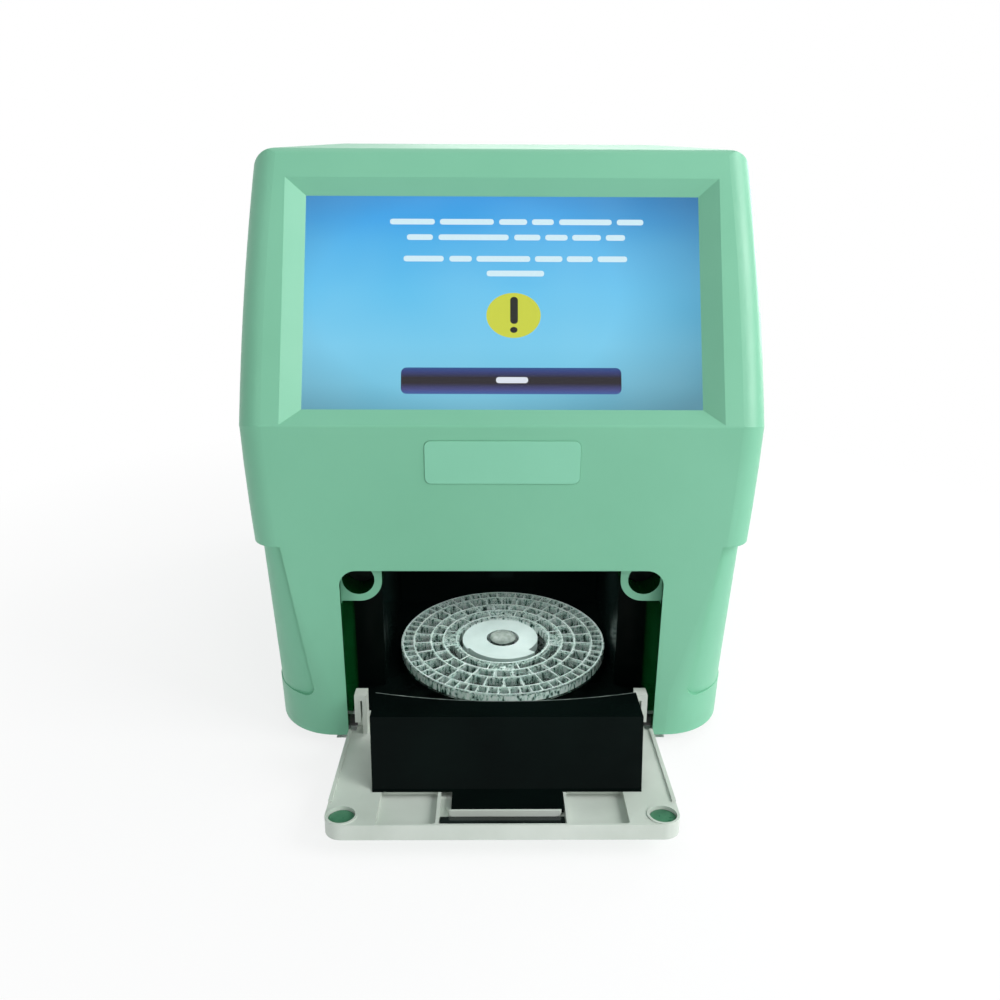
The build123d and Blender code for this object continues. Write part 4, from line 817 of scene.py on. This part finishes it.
def add_floor():
    """Pale floor that keeps a faint shadow by the object and fades to the white background."""
    builder = bmesh.new()
    corners = ((-1, -1), (1, -1), (1, 1), (-1, 1))
    builder.faces.new([builder.verts.new((x * floor_half, y * floor_half, 0)) for x, y in corners])
    mesh = bpy.data.meshes.new("floor")
    builder.to_mesh(mesh)
    builder.free()
    floor = bpy.data.objects.new("floor", mesh)
    bpy.context.scene.collection.objects.link(floor)
    finish = Finish("pale_floor")
    finish.colour_between(finish.noise(3, 2), srgb(244, 245, 245), srgb(248, 249, 249))
    finish.set(Roughness=0.7, Specular_IOR_Level=0.1)
    near_casing = finish.nearness((0, 0, 0), (shadow_reach, shadow_reach, shadow_reach))
    fade = finish.scaled(near_casing, 0.0, 0.7, 1.0, 0.8)
    # Nothing glows under the casing. Two crossed boxes keep inside its rounded corners.
    across = finish.inside(
        (-under_half, front_y + corner_room, -1),
        (under_half, rear_y - corner_room, 1),
    )
    along = finish.inside(
        (-under_half + corner_width, front_y + under_front, -1),
        (under_half - corner_width, rear_y - under_rear, 1),
    )
    open_floor = finish.maths("SUBTRACT", 1.0, finish.maths("MAXIMUM", across, along))
    white_share = finish.maths("MULTIPLY", fade, studio_white(finish.material))
    glow = finish.nodes.new("ShaderNodeEmission")
    glow.inputs["Color"].default_value = (1.0, 1.0, 1.0, 1.0)
    mix = finish.nodes.new("ShaderNodeMixShader")
    finish.links.new(finish.maths("MULTIPLY", white_share, open_floor), mix.inputs["Fac"])
    finish.links.new(finish.shader.outputs["BSDF"], mix.inputs[1])
    finish.links.new(glow.outputs["Emission"], mix.inputs[2])
    finish.links.new(mix.outputs["Shader"], finish.nodes["Material Output"].inputs["Surface"])
    floor.data.materials.append(finish.material)


def add_softbox(name, place, target, width, height, power, mirrored=True):
    """A rectangular lamp at place, turned to target. Glossy surfaces show it if it is mirrored."""
    lamp = bpy.data.lights.new(name, "AREA")
    lamp.shape = "RECTANGLE"
    lamp.size = width
    lamp.size_y = height
    lamp.energy = power
    softbox = bpy.data.objects.new(name, lamp)
    softbox.location = place
    softbox.rotation_euler = (Vector(target) - Vector(place)).to_track_quat("-Z", "Y").to_euler()
    softbox.visible_glossy = mirrored
    softbox.visible_camera = False
    bpy.context.scene.collection.objects.link(softbox)


camera_place = Vector((-4.5 * mm, front_y - 335.4 * mm, 246.3 * mm))


def add_camera():
    """The camera, in front of the screen and above it."""
    pitch = math.radians(21.56)
    yaw = math.radians(0.62)
    roll = math.radians(-0.30)
    ahead = math.cos(pitch)
    forward = Vector((math.sin(yaw) * ahead, math.cos(yaw) * ahead, -math.sin(pitch)))
    level_right = Vector((math.cos(yaw), -math.sin(yaw), 0))
    level_down = forward.cross(level_right)
    right = math.cos(roll) * level_right + math.sin(roll) * level_down
    up = math.sin(roll) * level_right - math.cos(roll) * level_down
    camera = bpy.data.objects.new("camera", bpy.data.cameras.new("camera"))
    camera.matrix_world = Matrix(
        (
            (right.x, up.x, -forward.x, camera_place.x),
            (right.y, up.y, -forward.y, camera_place.y),
            (right.z, up.z, -forward.z, camera_place.z),
            (0, 0, 0, 1),
        )
    )
    camera.data.sensor_fit = "HORIZONTAL"
    camera.data.sensor_width = 36
    camera.data.lens = 33.26
    camera.data.clip_start = 0.01
    bpy.context.scene.collection.objects.link(camera)
    bpy.context.scene.camera = camera


add_world(0.32)
add_floor()
middle = (0, 0, 0.1)
add_softbox("key", (1.20, -0.50, 0.95), middle, 0.8, 0.8, 16)
add_softbox("front_right", (0.70, -1.40, 0.80), middle, 0.5, 0.4, 4)
add_softbox("front_left", (-0.70, -1.40, 0.80), middle, 0.5, 0.4, 2.5)
add_softbox("top", (0, 0.2, 1.5), middle, 1.2, 1.0, 2)
add_softbox("back", (0.3, 1.5, 1.0), (0, 0, 0.12), 1.0, 0.8, 6)
# A small lamp just under the chamber's roof shows the disc.
under_roof = (disc_x, disc_y - 8 * mm, 68.5 * mm)
disc_front = (disc_x, disc_y - 28 * mm, disc_top)
add_softbox("chamber", under_roof, disc_front, 90 * mm, 40 * mm, 0.088, mirrored=False)
add_softbox("rim", (0.95, 0.85, 0.45), middle, 0.5, 0.8, 7)
add_camera()
bpy.context.scene.view_settings.view_transform = "Standard"
